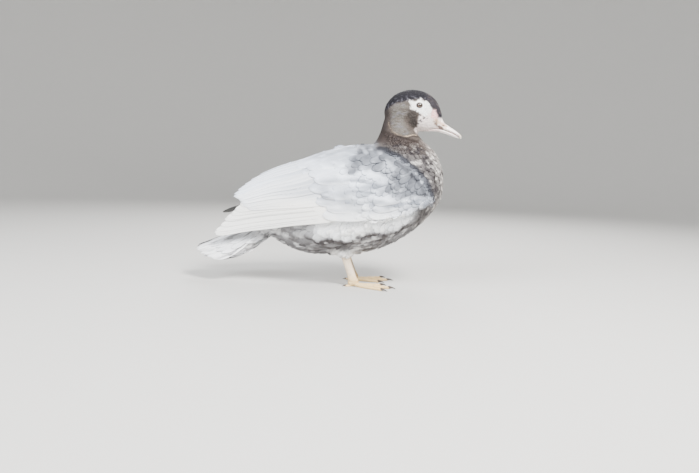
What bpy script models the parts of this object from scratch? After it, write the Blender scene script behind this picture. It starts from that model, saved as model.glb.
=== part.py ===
"""A young Muscovy duck hen, standing, life size. Metres, +Z up, bill along +X, floor at Z = 0."""

import math

import bmesh
import bpy
import numpy as np
from mathutils import Matrix

# Driving sizes, in metres
GAP = 0.0003  # clearance between neighbouring nodes
RING = 26  # points round a body section
EYE_RADIUS = 0.0064
EYE_PLACE = (0.1650, 0.0188, 0.3300)  # left eye; the right one is its mirror
LIDS = (0.0068, 0.0030, 0.0060)  # half sizes of the raised lids
LIDS_OUT = 0.0036  # from the eye's middle out to the lids' middle
FLOOR = 0.0
NOSTRIL = (0.2105, 0.0098, 0.2990)  # the left one's middle
NOSTRIL_RADII = (0.0042, 0.0024, 0.0018)
CARUNCLES = 5  # on each side
CARUNCLE_PATCH = (0.1945, 0.0150, 0.3180)  # middle of the bare bumpy skin at the bill's base
WING_LIFT = {"right": 0.0, "left": 0.026}  # the left wing's primaries ride higher, over the rump
WIDEST = 0.66  # where the folded wing is widest, from its upper edge, 0, to its lower one, 1

# Body sections along X: x, top, bottom, half width, height of the widest place (millimetres)
TORSO = [
    (215.0, 190, 190, 0, 190), (211.5, 218, 164, 30, 189), (200, 240, 143, 53, 185),
    (179, 252, 118, 69, 178), (149, 257, 92, 80, 168), (104, 258, 69, 87, 158),
    (54, 252, 55.5, 88, 148), (4, 238, 53, 84, 140), (-41, 216, 57, 73, 134),
    (-81, 197, 73, 56, 131), (-111, 177, 92, 40, 130), (-131, 158, 108, 23, 130),
    (-139, 131, 131, 0, 131),
]
HEAD = [
    (101, 317, 317, 0, 317), (105, 332, 303, 13, 317), (118, 347.5, 294, 21, 318),
    (136, 356.5, 288, 25.5, 318), (154, 359, 285, 26.5, 317), (172, 356, 284, 25, 315),
    (188, 348, 285, 20.5, 310), (199, 336, 286.5, 15.5, 304), (206.5, 317, 289, 11.5, 300),
    (210, 300, 300, 0, 300),
]
UPPER_BILL = [
    (188, 300, 300, 0, 300), (190, 315, 292, 10.5, 296), (201, 315, 290.5, 12, 295),
    (212, 305.5, 288, 11.5, 291), (222, 298, 284.5, 11.3, 287.5), (232, 290.5, 280.5, 11, 283),
    (239, 284, 276.5, 8.8, 279), (242.6, 279, 273.6, 4.5, 276), (243.6, 275.5, 275.5, 0, 275.5),
]
LOWER_BILL = [
    (180, 287, 287, 0, 287), (182, 288.5, 285, 8.5, 287), (196, 289.5, 285.5, 10, 288),
    (210, 288, 282.6, 9.8, 286), (222, 284, 279.2, 9.4, 282), (233, 279.6, 275.6, 7.8, 278),
    (238.4, 276.6, 274.2, 3.6, 275.6), (239.4, 275.4, 275.4, 0, 275.4),
]
# Neck rings from the chest up: back x, back z, front x, front z, half width (millimetres)
NECK = [
    (92, 205, 180, 190, 42), (74, 246, 207, 222, 58), (84, 263, 197, 249, 47),
    (95, 280, 176, 268, 35), (100, 297, 164, 281, 28), (105, 316, 162, 300, 22),
]
# The folded wing's outer face: x, then y and z of its upper edge, its bulge and its lower edge
WING = [
    (200, 30, 224, 66, 186, 64, 163), (154, 26, 253, 86, 186, 82, 139),
    (104, 22, 263, 95, 182, 91, 126), (54, 18, 261, 99, 176, 95, 125),
    (4, 14, 250, 96, 168, 92, 121), (-46, 11, 230, 85, 157, 82, 116),
    (-96, 9, 210, 67, 147, 65, 107), (-146, 8, 182, 48, 132, 48, 97),
    (-201, 8, 148, 31, 113, 33, 82),
]
# Tiers of the folded wing: how many feathers, the uppermost and the lowest one's root, the same
# two tips, each as x and place across the face, and the height of the tips over the core
WING_TIERS = {
    "primaries": (5, ((0.024, 0.780), (0.044, 0.965)), ((-0.162, 0.645), (-0.199, 0.965)), 0.0036),
    "secondaries": (4, ((-0.001, 0.530), (0.019, 0.735)), ((-0.138, 0.365), (-0.146, 0.580)), 0.0040),
    "tertials": (4, ((-0.031, 0.160), (-0.011, 0.450)), ((-0.168, 0.090), (-0.142, 0.295)), 0.0044),
    "rear_scapulars": (3, ((-0.001, 0.070), (-0.001, 0.330)), ((-0.081, 0.065), (-0.056, 0.310)), 0.0064),
    "greater_coverts": (7, ((0.049, 0.060), (0.074, 0.945)), ((-0.028, 0.060), (0.009, 0.945)), 0.0064),
    "median_coverts": (7, ((0.096, 0.055), (0.116, 0.940)), ((0.026, 0.060), (0.056, 0.940)), 0.0066),
    "lesser_coverts": (6, ((0.139, 0.070), (0.154, 0.920)), ((0.074, 0.070), (0.100, 0.920)), 0.0068),
    "front_coverts": (6, ((0.190, 0.090), (0.194, 0.880)), ((0.122, 0.080), (0.138, 0.900)), 0.0070),
}
WING_COAT = 0.0064  # depth of the feathers over the wing's core
VANE_THICK = 0.0008
# Half a feather's width, in steps from one feather to the next
COVERT_SPREAD = 0.62
FLIGHT_SPREAD = 0.85
TAIL_SPREAD = 0.75
# A feather's half width along its length, and the rows of points along short and long ones
VANE_OUTLINE = ((0.0, 0.2, 0.5, 0.8, 0.93, 1.0), (0.45, 0.80, 1.0, 1.0, 0.85, 0.42))
COVERT_ROWS = (0.0, 0.2, 0.78, 1.0)
FLIGHT_ROWS = (0.0, 0.2, 0.6, 0.92, 1.0)
SUNK = 0.0034  # depth of a feather's root under the surface that it grows from
SUNK_END = 0.2  # part of its length by which a feather is clear of that surface
CLEAR = 0.0025  # height of its top over that surface from there on
OVERLAP = 0.0018  # from one feather's top to the next one's, where they overlap
TAIL_SIDE = 5  # tail feathers on each side of the middle one
TAIL_ROOT = (-0.091, 0.120)
TAIL_TIP = (-0.239, 0.053)
TAIL_ROLL = 0.24  # rise of the tail towards the left, for each metre across
TAIL_DROP = 0.026  # how far its sides hang under its middle
TAIL_CORE = 0.74  # its share of the length that is solid under the feathers
TAIL_HALF = (0.024, 0.022)  # half its width at the root, and what it gains by the tip
TAIL_ROUNDED = 0.30  # how much shorter its outermost feathers are than the middle one
TAIL_DEEP = (0.030, 0.030)  # its thickness at the root, and what it loses by the tip
TAIL_COVERTS = {"over": 0.62, "under": 0.84}  # the share of it that its coverts reach along
TOES = {  # heading from straight ahead in degrees (outwards is positive), length, radius
    "inner": (-27, 0.052, 0.0042),
    "middle": (0, 0.066, 0.0046),
    "outer": (25, 0.062, 0.0042),
    "hind": (155, 0.015, 0.0030),
}
TOE_TAPER = 0.62  # a toe's tip radius against its root's
TOE_ROOT = 0.006  # height of the toes' middle where they leave the ankle
FOOT = {"right": (0.059, -0.034, 8), "left": (0.055, 0.034, 8)}  # x, y, degrees turned out
KNUCKLE = (0.0100, 0.0068, 0.0062)  # half sizes of the joint over the toes
WEB = (0.0004, 0.0016)  # height of its underside over the floor, and its thickness
WEB_HOLLOW = 0.16  # how far its front edge curves back between two toes
CLAW = 0.011
HIND_CLAW = 0.007
HOCK = (-0.018, 0.060)  # the hock's place behind the foot's middle, and its height
ANKLE = (-0.001, 0.0135)
THIGH = [  # rings: shift ahead of the hock, height, half length, half width
    (0.006, 0.108, 0.034, 0.026), (0.004, 0.082, 0.028, 0.021),
    (0.001, 0.063, 0.0170, 0.0140), (0.000, 0.0535, 0.0112, 0.0088),
]
SHANK = (0.0077, 0.0055)  # half its depth from front to back, and half its width


def material(name, colour, roughness, metallic=0.0):
    made = bpy.data.materials.new(name)
    made.use_nodes = True
    shader = made.node_tree.nodes["Principled BSDF"]
    shader.inputs["Base Color"].default_value = (*colour, 1.0)
    shader.inputs["Roughness"].default_value = roughness
    shader.inputs["Metallic"].default_value = metallic
    return made


def through(stations, places):
    """A smooth curve through evenly numbered stations, read at fractional numbers."""
    rows = np.array(stations, float)
    slopes = np.gradient(rows, axis=0)
    low = np.clip(np.floor(places).astype(int), 0, len(rows) - 2)
    t = (np.asarray(places) - low)[:, None]
    a, b, ma, mb = rows[low], rows[low + 1], slopes[low], slopes[low + 1]
    return (
        a * (1 + 2 * t) * (1 - t) ** 2 + b * t * t * (3 - 2 * t)
        + ma * t * (1 - t) ** 2 + mb * t * t * (t - 1)
    )


def new_object(name, points, faces, finish=None):
    mesh = bpy.data.meshes.new(name)
    mesh.from_pydata([tuple(p) for p in points], [], [tuple(f) for f in faces])
    mesh.update()
    made = bpy.data.objects.new(name, mesh)
    bpy.context.scene.collection.objects.link(made)
    if finish:
        mesh.materials.append(finish)
    return made


def face_out(obj):
    work = bmesh.new()
    work.from_mesh(obj.data)
    bmesh.ops.remove_doubles(work, verts=work.verts, dist=1e-6)
    bmesh.ops.recalc_face_normals(work, faces=work.faces)
    bmesh.ops.triangulate(work, faces=work.faces)
    if work.calc_volume(signed=True) < 0:
        bmesh.ops.reverse_faces(work, faces=work.faces)
    work.to_mesh(obj.data)
    work.free()
    return obj


def loft(name, rings, start=None, end=None):
    """Skins rings of equal count, and closes each end on a point or on the ring's own middle."""
    rings = [np.asarray(r, float) for r in rings]
    count = len(rings[0])
    points = np.vstack([*rings, rings[0].mean(0) if start is None else start])
    points = np.vstack([points, rings[-1].mean(0) if end is None else end])
    faces = []
    for i in range(len(rings) - 1):
        for j in range(count):
            a, b = i * count + j, i * count + (j + 1) % count
            faces += [(a, b, b + count), (a, b + count, a + count)]
    last = (len(rings) - 1) * count
    for j in range(count):
        k = (j + 1) % count
        faces += [(len(points) - 2, k, j), (len(points) - 1, last + j, last + k)]
    return face_out(new_object(name, points, faces))


def shell(name, upper, lower):
    """A closed sheet between two like grids of points, split into triangles alike on both faces."""
    upper, lower = np.asarray(upper, float), np.asarray(lower, float)
    rows, across = upper.shape[:2]
    points = np.vstack([upper.reshape(-1, 3), lower.reshape(-1, 3)])
    under = rows * across
    faces = []
    for i in range(rows - 1):
        for j in range(across - 1):
            a, b = i * across + j, i * across + j + 1
            c, d = b + across, a + across
            faces += [(a, b, c), (a, c, d), (under + c, under + b, under + a)]
            faces += [(under + d, under + c, under + a)]
    rim = [j for j in range(across)] + [i * across + across - 1 for i in range(1, rows)]
    rim += [(rows - 1) * across + j for j in range(across - 2, -1, -1)]
    rim += [i * across for i in range(rows - 2, 0, -1)]
    for a, b in zip(rim, rim[1:] + rim[:1]):
        faces += [(b, a, under + a), (b, under + a, under + b)]
    return face_out(new_object(name, points, faces))


def section(x, top, bottom, half, wide, count=RING, square=2.15):
    """An egg-shaped upright section at x, flatter or fuller above and below its widest place."""
    angle = np.linspace(0, 2 * math.pi, count, endpoint=False)
    c, s = np.cos(angle), np.sin(angle)
    y = half * np.sign(c) * np.abs(c) ** (2 / square)
    rise = np.where(s > 0, top - wide, wide - bottom)
    z = wide + rise * np.sign(s) * np.abs(s) ** (2 / square)
    return np.column_stack([np.full(count, x), y, z]) / 1000


def sectioned(name, stations, per=2, count=RING, square=2.15):
    """A closed form through upright sections; the first and last stations are its two ends."""
    places = np.linspace(0, len(stations) - 1, (len(stations) - 1) * per + 1)
    rows = through(stations, places)
    rings = [section(*row, count=count, square=square) for row in rows[1:-1]]
    ends = [np.array([row[0], 0, row[4]]) / 1000 for row in (rows[0], rows[-1])]
    return loft(name, rings, *ends)


def neck_form():
    rows = through(NECK, np.linspace(0, len(NECK) - 1, 2 * len(NECK) - 1))
    angle = np.linspace(0, 2 * math.pi, RING, endpoint=False)
    rings = []
    for back_x, back_z, front_x, front_z, half in rows:
        along = (1 + np.cos(angle)) / 2
        x = back_x + (front_x - back_x) * along
        z = back_z + (front_z - back_z) * along
        rings.append(np.column_stack([x, half * np.sin(angle), z]) / 1000)
    return loft("neck_form", rings)


def union(name, pieces, finish):
    """Joins closed pieces into one body and keeps only its largest closed surface."""
    group = bpy.data.collections.new(name + "_pieces")
    bpy.context.scene.collection.children.link(group)
    base = pieces[0]
    for piece in pieces[1:]:
        group.objects.link(piece)
    if len(pieces) > 1:
        join = base.modifiers.new("join", "BOOLEAN")
        join.operation = "UNION"
        join.operand_type = "COLLECTION"
        join.collection = group
        join.solver = "MANIFOLD"
    made = settled(base, name, finish)
    for piece in pieces:
        bpy.data.objects.remove(piece)
    bpy.data.collections.remove(group)
    return made


def settled(obj, name, finish=None):
    """A new object with the evaluated mesh of obj, down to its largest closed surface."""
    bpy.context.view_layer.update()
    graph = bpy.context.evaluated_depsgraph_get()
    mesh = bpy.data.meshes.new_from_object(obj.evaluated_get(graph), depsgraph=graph)
    mesh.transform(obj.matrix_world)
    obj.name = name + "_before"
    made = bpy.data.objects.new(name, mesh)
    bpy.context.scene.collection.objects.link(made)
    mesh.materials.clear()
    if finish:
        mesh.materials.append(finish)
    keep_largest(mesh)
    return made


def keep_largest(mesh):
    work = bmesh.new()
    work.from_mesh(mesh)
    bmesh.ops.remove_doubles(work, verts=work.verts, dist=1e-7)
    bmesh.ops.triangulate(work, faces=work.faces)
    work.faces.ensure_lookup_table()
    seen, bodies = set(), []
    for face in work.faces:
        if face.index in seen:
            continue
        body, queue = [], [face]
        seen.add(face.index)
        while queue:
            here = queue.pop()
            body.append(here)
            for edge in here.edges:
                for other in edge.link_faces:
                    if other.index not in seen:
                        seen.add(other.index)
                        queue.append(other)
        bodies.append(body)
    sizes = [
        abs(sum(f.verts[0].co.dot(f.verts[1].co.cross(f.verts[2].co)) for f in body))
        for body in bodies
    ]
    best = sizes.index(max(sizes))
    spare = [f for n, body in enumerate(bodies) if n != best for f in body]
    bmesh.ops.delete(work, geom=spare, context="FACES")
    work.to_mesh(mesh)
    work.free()


def grown(obj, by):
    """A copy of a closed form with every point moved out along its normal."""
    mesh = obj.data.copy()
    normals = [v.normal.copy() for v in mesh.vertices]
    for vertex, normal in zip(mesh.vertices, normals):
        vertex.co += normal * by
    made = bpy.data.objects.new(obj.name + "_grown", mesh)
    bpy.context.scene.collection.objects.link(made)
    return made


def carve(obj, tools, gap=GAP):
    """Cuts obj clear of each tool by the gap, and keeps its name and finish."""
    name, finish = obj.name, obj.data.materials[0]
    cutters = [grown(tool, gap) for tool in tools]
    for cutter in cutters:
        cut = obj.modifiers.new("cut", "BOOLEAN")
        cut.operation = "DIFFERENCE"
        cut.object = cutter
        cut.solver = "MANIFOLD"
    made = settled(obj, name, finish)
    bpy.data.objects.remove(obj)
    for cutter in cutters:
        bpy.data.objects.remove(cutter)
    made.name = name
    return made


def ball(name, place, radii, segments=10, rings=6):
    work = bmesh.new()
    bmesh.ops.create_uvsphere(work, u_segments=segments, v_segments=rings, radius=1.0)
    bmesh.ops.scale(work, vec=radii, verts=work.verts)
    bmesh.ops.translate(work, vec=place, verts=work.verts)
    mesh = bpy.data.meshes.new(name)
    work.to_mesh(mesh)
    work.free()
    made = bpy.data.objects.new(name, mesh)
    bpy.context.scene.collection.objects.link(made)
    return face_out(made)


def mirrored(place, side):
    return (place[0], place[1] * side, place[2])


def wing_face(x, t, side, lift=0.0):
    """The folded wing's outer face: t runs from the upper edge, 0, to the lower edge, 1."""
    number = np.interp(-x * 1000, [-row[0] for row in WING], range(len(WING)))
    row = through(WING, np.atleast_1d(number))[0] / 1000
    upper, bulge, lower = row[1:3], row[3:5], row[5:7]
    if t < WIDEST:
        turn = math.pi / 2 * t / WIDEST
        y = upper[0] + (bulge[0] - upper[0]) * math.sin(turn)
        z = bulge[1] + (upper[1] - bulge[1]) * math.cos(turn)
    else:
        down = (t - WIDEST) / (1 - WIDEST)
        y = bulge[0] + (lower[0] - bulge[0]) * down * down
        z = bulge[1] + (lower[1] - bulge[1]) * down
    rise = lift * t * min(max((0.024 - x) / 0.2, 0.0), 1.0) ** 2
    return np.array([x, side * y, z + rise])


def normal_on(face, a, b, turned):
    """The unit normal of face at (a, b), from its two directions."""
    step = 1e-3
    along = face(a + step, b) - face(a - step, b)
    across = face(a, b + step) - face(a, b - step)
    normal = np.cross(along, across)
    return turned * normal / np.linalg.norm(normal)


def vane(name, face, turned, root, tip, half, height, lean, rows):
    """One feather on a face: from root to tip, with half its width, its tip's height and its lean.

    The root is sunk under the face. The lean lifts the edge that lies over the next feather.
    """
    upper, lower = [], []
    for s in rows:
        a, b = root[0] + (tip[0] - root[0]) * s, root[1] + (tip[1] - root[1]) * s
        wide = half * np.interp(s, *VANE_OUTLINE)
        if s < SUNK_END:
            rise = -SUNK + (SUNK + CLEAR) * s / SUNK_END
        else:
            rise = CLEAR + (height - CLEAR) * (s - SUNK_END) / (1 - SUNK_END)
        top, under = [], []
        for c in (-1, 0, 1):
            back = (tip[0] - root[0]) * (0.05 if c and s == rows[-1] else 0.0)
            here = b + c * wide
            normal = normal_on(face, a - back, here, turned)
            top.append(face(a - back, here) + normal * (rise + lean * c * wide))
            under.append(top[-1] - normal * VANE_THICK)
        upper.append(top)
        lower.append(under)
    return shell(name, upper, lower)


def wing_pieces(name, side, lift):
    """The wing's core and its tiers of feathers."""
    def face(x, t):
        return wing_face(x, t, side, lift)

    def under(x, t, deep):
        return face(x, t) - deep * normal_on(face, x, t, side)

    def inner(x, t):
        return under(x, t, WING_COAT)

    places = np.linspace(0, 1, 9)
    upper, lower = [], []
    for x in np.linspace(0.196, -0.114, 11):
        deep = np.interp(x, [-0.114, -0.056, 0.024], [0.0045, 0.012, 0.028])
        upper.append([under(x, t, WING_COAT) for t in places])
        lower.append([under(x, t, WING_COAT + deep) for t in places])
    pieces = [shell(name + "_core", upper, lower)]
    draw = np.random.default_rng(7 if side < 0 else 8)
    for tier, (count, roots, tips, height) in WING_TIERS.items():
        pitch = (tips[1][1] - tips[0][1]) / (count - 1)
        flight = tier in ("primaries", "secondaries", "tertials")
        rows = FLIGHT_ROWS if flight else COVERT_ROWS
        spread = FLIGHT_SPREAD if flight else COVERT_SPREAD
        for n in range(count):
            u = n / (count - 1)
            root = [roots[0][k] + (roots[1][k] - roots[0][k]) * u for k in (0, 1)]
            tip = [tips[0][k] + (tips[1][k] - tips[0][k]) * u for k in (0, 1)]
            tip[0] += draw.uniform(-0.002, 0.002)
            half = spread * pitch * draw.uniform(0.97, 1.04)
            pieces.append(vane(
                f"{name}_{tier}_{n}", inner, side, root, tip, half, height, OVERLAP / pitch, rows,
            ))
    return pieces


def build_wing(name, side, lift, finish, tools):
    return carve(union(name, wing_pieces(name, side, lift), finish), tools)


def tail_face(s, u):
    """The tented tail: s runs from root to tip, and u across it from -1 to 1."""
    reach = s * (1 - TAIL_ROUNDED * u * u)
    x = TAIL_ROOT[0] + (TAIL_TIP[0] - TAIL_ROOT[0]) * reach
    z = TAIL_ROOT[1] + (TAIL_TIP[1] - TAIL_ROOT[1]) * reach
    y = u * (TAIL_HALF[0] + TAIL_HALF[1] * max(s, 0) ** 0.8)
    drop = TAIL_DROP * math.sin(2.1 * s) * u * u
    return np.array([x, y, z - drop + TAIL_ROLL * y * min(max(s, 0) * 2, 1)])


def under_tail(s, u):
    return tail_face(s, u) - np.array([0, 0, TAIL_DEEP[0] - TAIL_DEEP[1] * s])


def tail_pieces():
    """The tail's core, its tented vanes, the middle one on top, and the coverts on both sides."""
    upper, lower = [], []
    for s in np.linspace(0, TAIL_CORE, 6):
        upper.append([tail_face(s, u) for u in np.linspace(-1, 1, 7)])
        lower.append([under_tail(s, u) for u in np.linspace(-1, 1, 7)])
    pieces = [shell("tail_core", upper, lower)]
    draw = np.random.default_rng(9)
    pitch = 0.94 / TAIL_SIDE
    for n in range(-TAIL_SIDE, TAIL_SIDE + 1):
        lean = math.copysign(OVERLAP / pitch, n) if n else 0.0
        tip = (1.0 + draw.uniform(-0.02, 0.02), n * pitch)
        height = 0.0040 - 0.0002 * abs(n)
        pieces.append(vane(
            f"rectrix_{n + TAIL_SIDE}", tail_face, -1, (0.26, n * pitch), tip,
            TAIL_SPREAD * pitch, height, lean, FLIGHT_ROWS,
        ))
    pitch = 0.72 / 2
    for where, face, turned in (("over", tail_face, -1), ("under", under_tail, 1)):
        for n in range(-2, 3):
            lean = math.copysign(OVERLAP / pitch, n) if n else 0.0
            along = TAIL_COVERTS[where] + draw.uniform(-0.02, 0.02)
            root, tip = (0.04, n * pitch), (along, n * pitch)
            pieces.append(vane(
                f"{where}_tail_{n + 2}", face, turned, root, tip, COVERT_SPREAD * pitch,
                0.0072, lean, COVERT_ROWS,
            ))
    return pieces


def build_tail(finish, tools):
    return carve(union("tail", tail_pieces(), finish), tools)


def toe(name, start, heading, length, radius, tip_radius, root_height):
    """A tapered toe with a flat sole that lies on the floor."""
    direction = np.array([math.cos(heading), math.sin(heading), 0])
    side = np.array([-math.sin(heading), math.cos(heading), 0])
    angle = np.linspace(0, 2 * math.pi, 8, endpoint=False) + math.pi / 8
    rings = []
    for s in np.linspace(0, 1, 5):
        wide = radius + (tip_radius - radius) * s
        tall = wide * 0.9
        middle = tall * 0.72 + (root_height - tall * 0.72) * max(0, 1 - 3.2 * s) ** 2
        ring = np.array(start) + direction * length * s + np.outer(np.cos(angle) * wide, side)
        ring[:, 2] = np.maximum(FLOOR, middle + np.sin(angle) * tall)
        rings.append(ring)
    return loft(name, rings)


def build_foot(which, side, finish):
    x, y, out = FOOT[which]
    root = np.array([x, y, FLOOR])
    pieces, tips = [], {}
    for name, (angle, length, radius) in TOES.items():
        heading = math.radians(side * (angle + out))
        pieces.append(toe(name, root, heading, length, radius, radius * TOE_TAPER, TOE_ROOT))
        tips[name] = (root + length * np.array([math.cos(heading), math.sin(heading), 0]), heading)
    knuckle = ball("knuckle", (x + ANKLE[0], y, KNUCKLE[1]), KNUCKLE, 8, 5)
    pieces.append(knuckle)
    outline = [root[:2] - [0.002, 0]]
    for first, second in (("inner", "middle"), ("middle", "outer")):
        a, b = tips[first][0][:2], tips[second][0][:2]
        back = (root[:2] - (a + b) / 2) * WEB_HOLLOW
        outline += [a + (root[:2] - a) * 0.04, (a + b) / 2 + back]
    outline.append(tips["outer"][0][:2] + (root[:2] - tips["outer"][0][:2]) * 0.04)
    low = np.array([[*p, WEB[0]] for p in outline])
    high = low + [0, 0, WEB[1]]
    pieces.append(plate("web", low, high))
    return union("foot_" + which, pieces, finish), tips


def plate(name, low, high):
    """A flat plate between two like outlines."""
    count = len(low)
    faces = [tuple(range(count)), tuple(range(2 * count - 1, count - 1, -1))]
    faces += [(j, (j + 1) % count, (j + 1) % count + count, j + count) for j in range(count)]
    return face_out(new_object(name, np.vstack([low, high]), faces))


def build_claw(name, tip, heading, size, finish):
    direction = np.array([math.cos(heading), math.sin(heading), 0])
    side = np.array([-math.sin(heading), math.cos(heading), 0])
    angle = np.linspace(0, 2 * math.pi, 6, endpoint=False)
    rings = []
    for s in (0.0, 0.5, 1.0):
        wide = size * (0.24 - 0.19 * s)
        middle = size * (0.27 + 0.10 * s - 0.30 * s * s)
        ring = tip + direction * (GAP + size * s) + np.outer(np.cos(angle) * wide * 0.8, side)
        ring[:, 2] = np.maximum(FLOOR, middle + np.sin(angle) * wide)
        rings.append(ring)
    return union(name, [loft(name + "_form", rings)], finish)


def build_leg(which, finish, skin, torso):
    """The feathered thigh down to the hock, and the bare shank below it."""
    x, y, _ = FOOT[which]
    hock = np.array([x + HOCK[0], y, HOCK[1]])
    ankle = np.array([x + ANKLE[0], y, ANKLE[1]])
    angle = np.linspace(0, 2 * math.pi, 12, endpoint=False)
    thigh_rings = []
    for shift, height, long, wide in THIGH:
        ring = np.column_stack([
            hock[0] + shift + long * np.cos(angle),
            y * (1 - 0.10 * (height - 0.058) / 0.05) + wide * np.sin(angle),
            np.full(12, height),
        ])
        thigh_rings.append(ring)
    thigh = carve(union("thigh_" + which, [loft("thigh_form", thigh_rings)], skin), [torso])
    angle = np.linspace(0, 2 * math.pi, 10, endpoint=False)
    shank_rings = []
    for s in np.linspace(0, 1, 6):
        centre = hock + (ankle - hock) * s - np.array([0, 0, 0.0023])
        swell = 1 + 0.28 * (2 * s - 1) ** 4
        ring = np.column_stack([
            centre[0] + SHANK[0] * swell * np.cos(angle),
            centre[1] + SHANK[1] * swell * np.sin(angle),
            np.full(10, centre[2]),
        ])
        shank_rings.append(ring)
    shank = union("shank_" + which, [loft("shank_form", shank_rings)], finish)
    return thigh, shank


def eye_rim(side):
    """The lids: a low swelling that the eye's own cut opens into a ring."""
    x, y, z = EYE_PLACE
    rim = ball("lids", (0, 0, 0), (1, 1, 1), 12, 6)
    rim.data.transform(Matrix.Rotation(math.pi / 2, 4, "X"))
    rim.data.transform(
        Matrix.Translation(mirrored((x, y + LIDS_OUT, z), side)) @ Matrix.Diagonal((*LIDS, 1))
    )
    return rim


def caruncles(side):
    """Bulbs of bare skin between the bill's base and the eye, largest at the bill."""
    draw = np.random.default_rng(21)
    bulbs = []
    for n in range(CARUNCLES):
        turn = 2.4 * n
        spread = 0.0066 * math.sqrt((n + 0.5) / CARUNCLES)
        place = np.array(CARUNCLE_PATCH) + [
            spread * 0.8 * math.cos(turn), -0.34 * spread * math.cos(turn), spread * math.sin(turn),
        ]
        radius = draw.uniform(0.0019, 0.0027)
        bulbs.append(ball(f"bulb_{n}", mirrored(place, side), (radius,) * 3, 6, 4))
    return bulbs


def build_head(skin):
    pieces = [sectioned("head_form", HEAD, count=22)]
    for side in (-1, 1):
        pieces += [eye_rim(side), *caruncles(side)]
    return union("head", pieces, skin)


def build_bill(horn):
    """Both halves of the bill, with the line of the mouth between them and the nostrils."""
    upper = union("bill_upper", [sectioned("upper_form", UPPER_BILL, count=14)], horn)
    lower = union("bill_lower", [sectioned("lower_form", LOWER_BILL, count=14)], horn)
    lower = carve(lower, [upper])
    pits = [ball("nostril", mirrored(NOSTRIL, side), NOSTRIL_RADII, 8, 5) for side in (-1, 1)]
    upper = carve(upper, pits, 0.0)
    for pit in pits:
        bpy.data.objects.remove(pit)
    return upper, lower


def main():
    for old in list(bpy.data.objects):
        bpy.data.objects.remove(old)
    plumage = material("plumage", (0.50, 0.53, 0.58), 0.75)
    wing_feathers = material("wing_feathers", (0.74, 0.78, 0.83), 0.6)
    head_feathers = material("head_feathers", (0.20, 0.19, 0.19), 0.8)
    bill_horn = material("bill_horn", (0.78, 0.62, 0.58), 0.45)
    eye_glass = material("eye_glass", (0.03, 0.02, 0.015), 0.08)
    leg_skin = material("leg_skin", (0.80, 0.68, 0.48), 0.55)
    claw_horn = material("claw_horn", (0.09, 0.08, 0.07), 0.4)

    torso = union("torso", [sectioned("torso_form", TORSO)], plumage)
    head = build_head(head_feathers)
    neck = union("neck", [neck_form()], head_feathers)
    upper, lower = build_bill(bill_horn)
    neck = carve(neck, [torso, head])
    for side, which in ((-1, "right"), (1, "left")):
        eye = union(
            "eye_" + which,
            [ball("eye_form", mirrored(EYE_PLACE, side), (EYE_RADIUS,) * 3, 10, 8)],
            eye_glass,
        )
        head = carve(head, [eye])
    head = carve(head, [upper, lower])

    for side, which in ((-1, "right"), (1, "left")):
        build_wing("wing_" + which, side, WING_LIFT[which], wing_feathers, [torso, neck])
        foot, tips = build_foot(which, side, leg_skin)
        thigh, shank = build_leg(which, leg_skin, plumage, torso)
        shank = carve(shank, [foot, thigh])
        for name, (tip, heading) in tips.items():
            size = HIND_CLAW if name == "hind" else CLAW
            build_claw(f"claw_{which}_{name}", tip, heading, size, claw_horn)
    build_tail(wing_feathers, [torso])


main()
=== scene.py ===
import math

import bmesh
import bpy
import numpy as np
from mathutils import Euler, Matrix, Vector
from mathutils.bvhtree import BVHTree
from mathutils.kdtree import KDTree


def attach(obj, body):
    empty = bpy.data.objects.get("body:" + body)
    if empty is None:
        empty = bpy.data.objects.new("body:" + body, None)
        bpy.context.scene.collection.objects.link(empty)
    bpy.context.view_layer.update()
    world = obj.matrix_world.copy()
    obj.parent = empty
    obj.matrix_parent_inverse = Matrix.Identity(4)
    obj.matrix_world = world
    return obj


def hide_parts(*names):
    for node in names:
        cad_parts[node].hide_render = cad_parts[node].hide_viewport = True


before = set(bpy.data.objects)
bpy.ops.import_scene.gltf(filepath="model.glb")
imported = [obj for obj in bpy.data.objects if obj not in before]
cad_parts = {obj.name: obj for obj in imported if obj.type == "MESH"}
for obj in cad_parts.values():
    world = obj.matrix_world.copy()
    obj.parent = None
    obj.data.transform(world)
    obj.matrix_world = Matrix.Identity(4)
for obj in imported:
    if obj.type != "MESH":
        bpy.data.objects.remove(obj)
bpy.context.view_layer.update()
sides = {"right": -1, "left": 1}


def srgb(tones):  # screen tones from 0 to 255, as linear ones
    v = np.clip(np.asarray(tones, float), 3, 252) / 255
    return np.where(v <= 0.04045, v / 12.92, ((v + 0.055) / 1.055) ** 2.4)


def linear(tones):  # a piece's named screen tones, as linear ones
    return {name: srgb(value) for name, value in tones.items()}


def layers(tone):  # a function that lays one of these tones over a base, by an amount for each place
    def over(base, name, amount):
        return base + (tone[name] - base) * np.clip(amount, 0, 1)[..., None]
    return over


def smooth(low, high, value):
    t = np.clip((np.asarray(value, float) - low) / (high - low), 0, 1)
    return t * t * (3 - 2 * t)


def unit(rows):
    rows = np.asarray(rows, float)
    return rows / np.maximum(np.linalg.norm(rows, axis=-1, keepdims=True), 1e-12)


def circle(count):
    return np.linspace(0, 2 * math.pi, count, endpoint=False)


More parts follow.
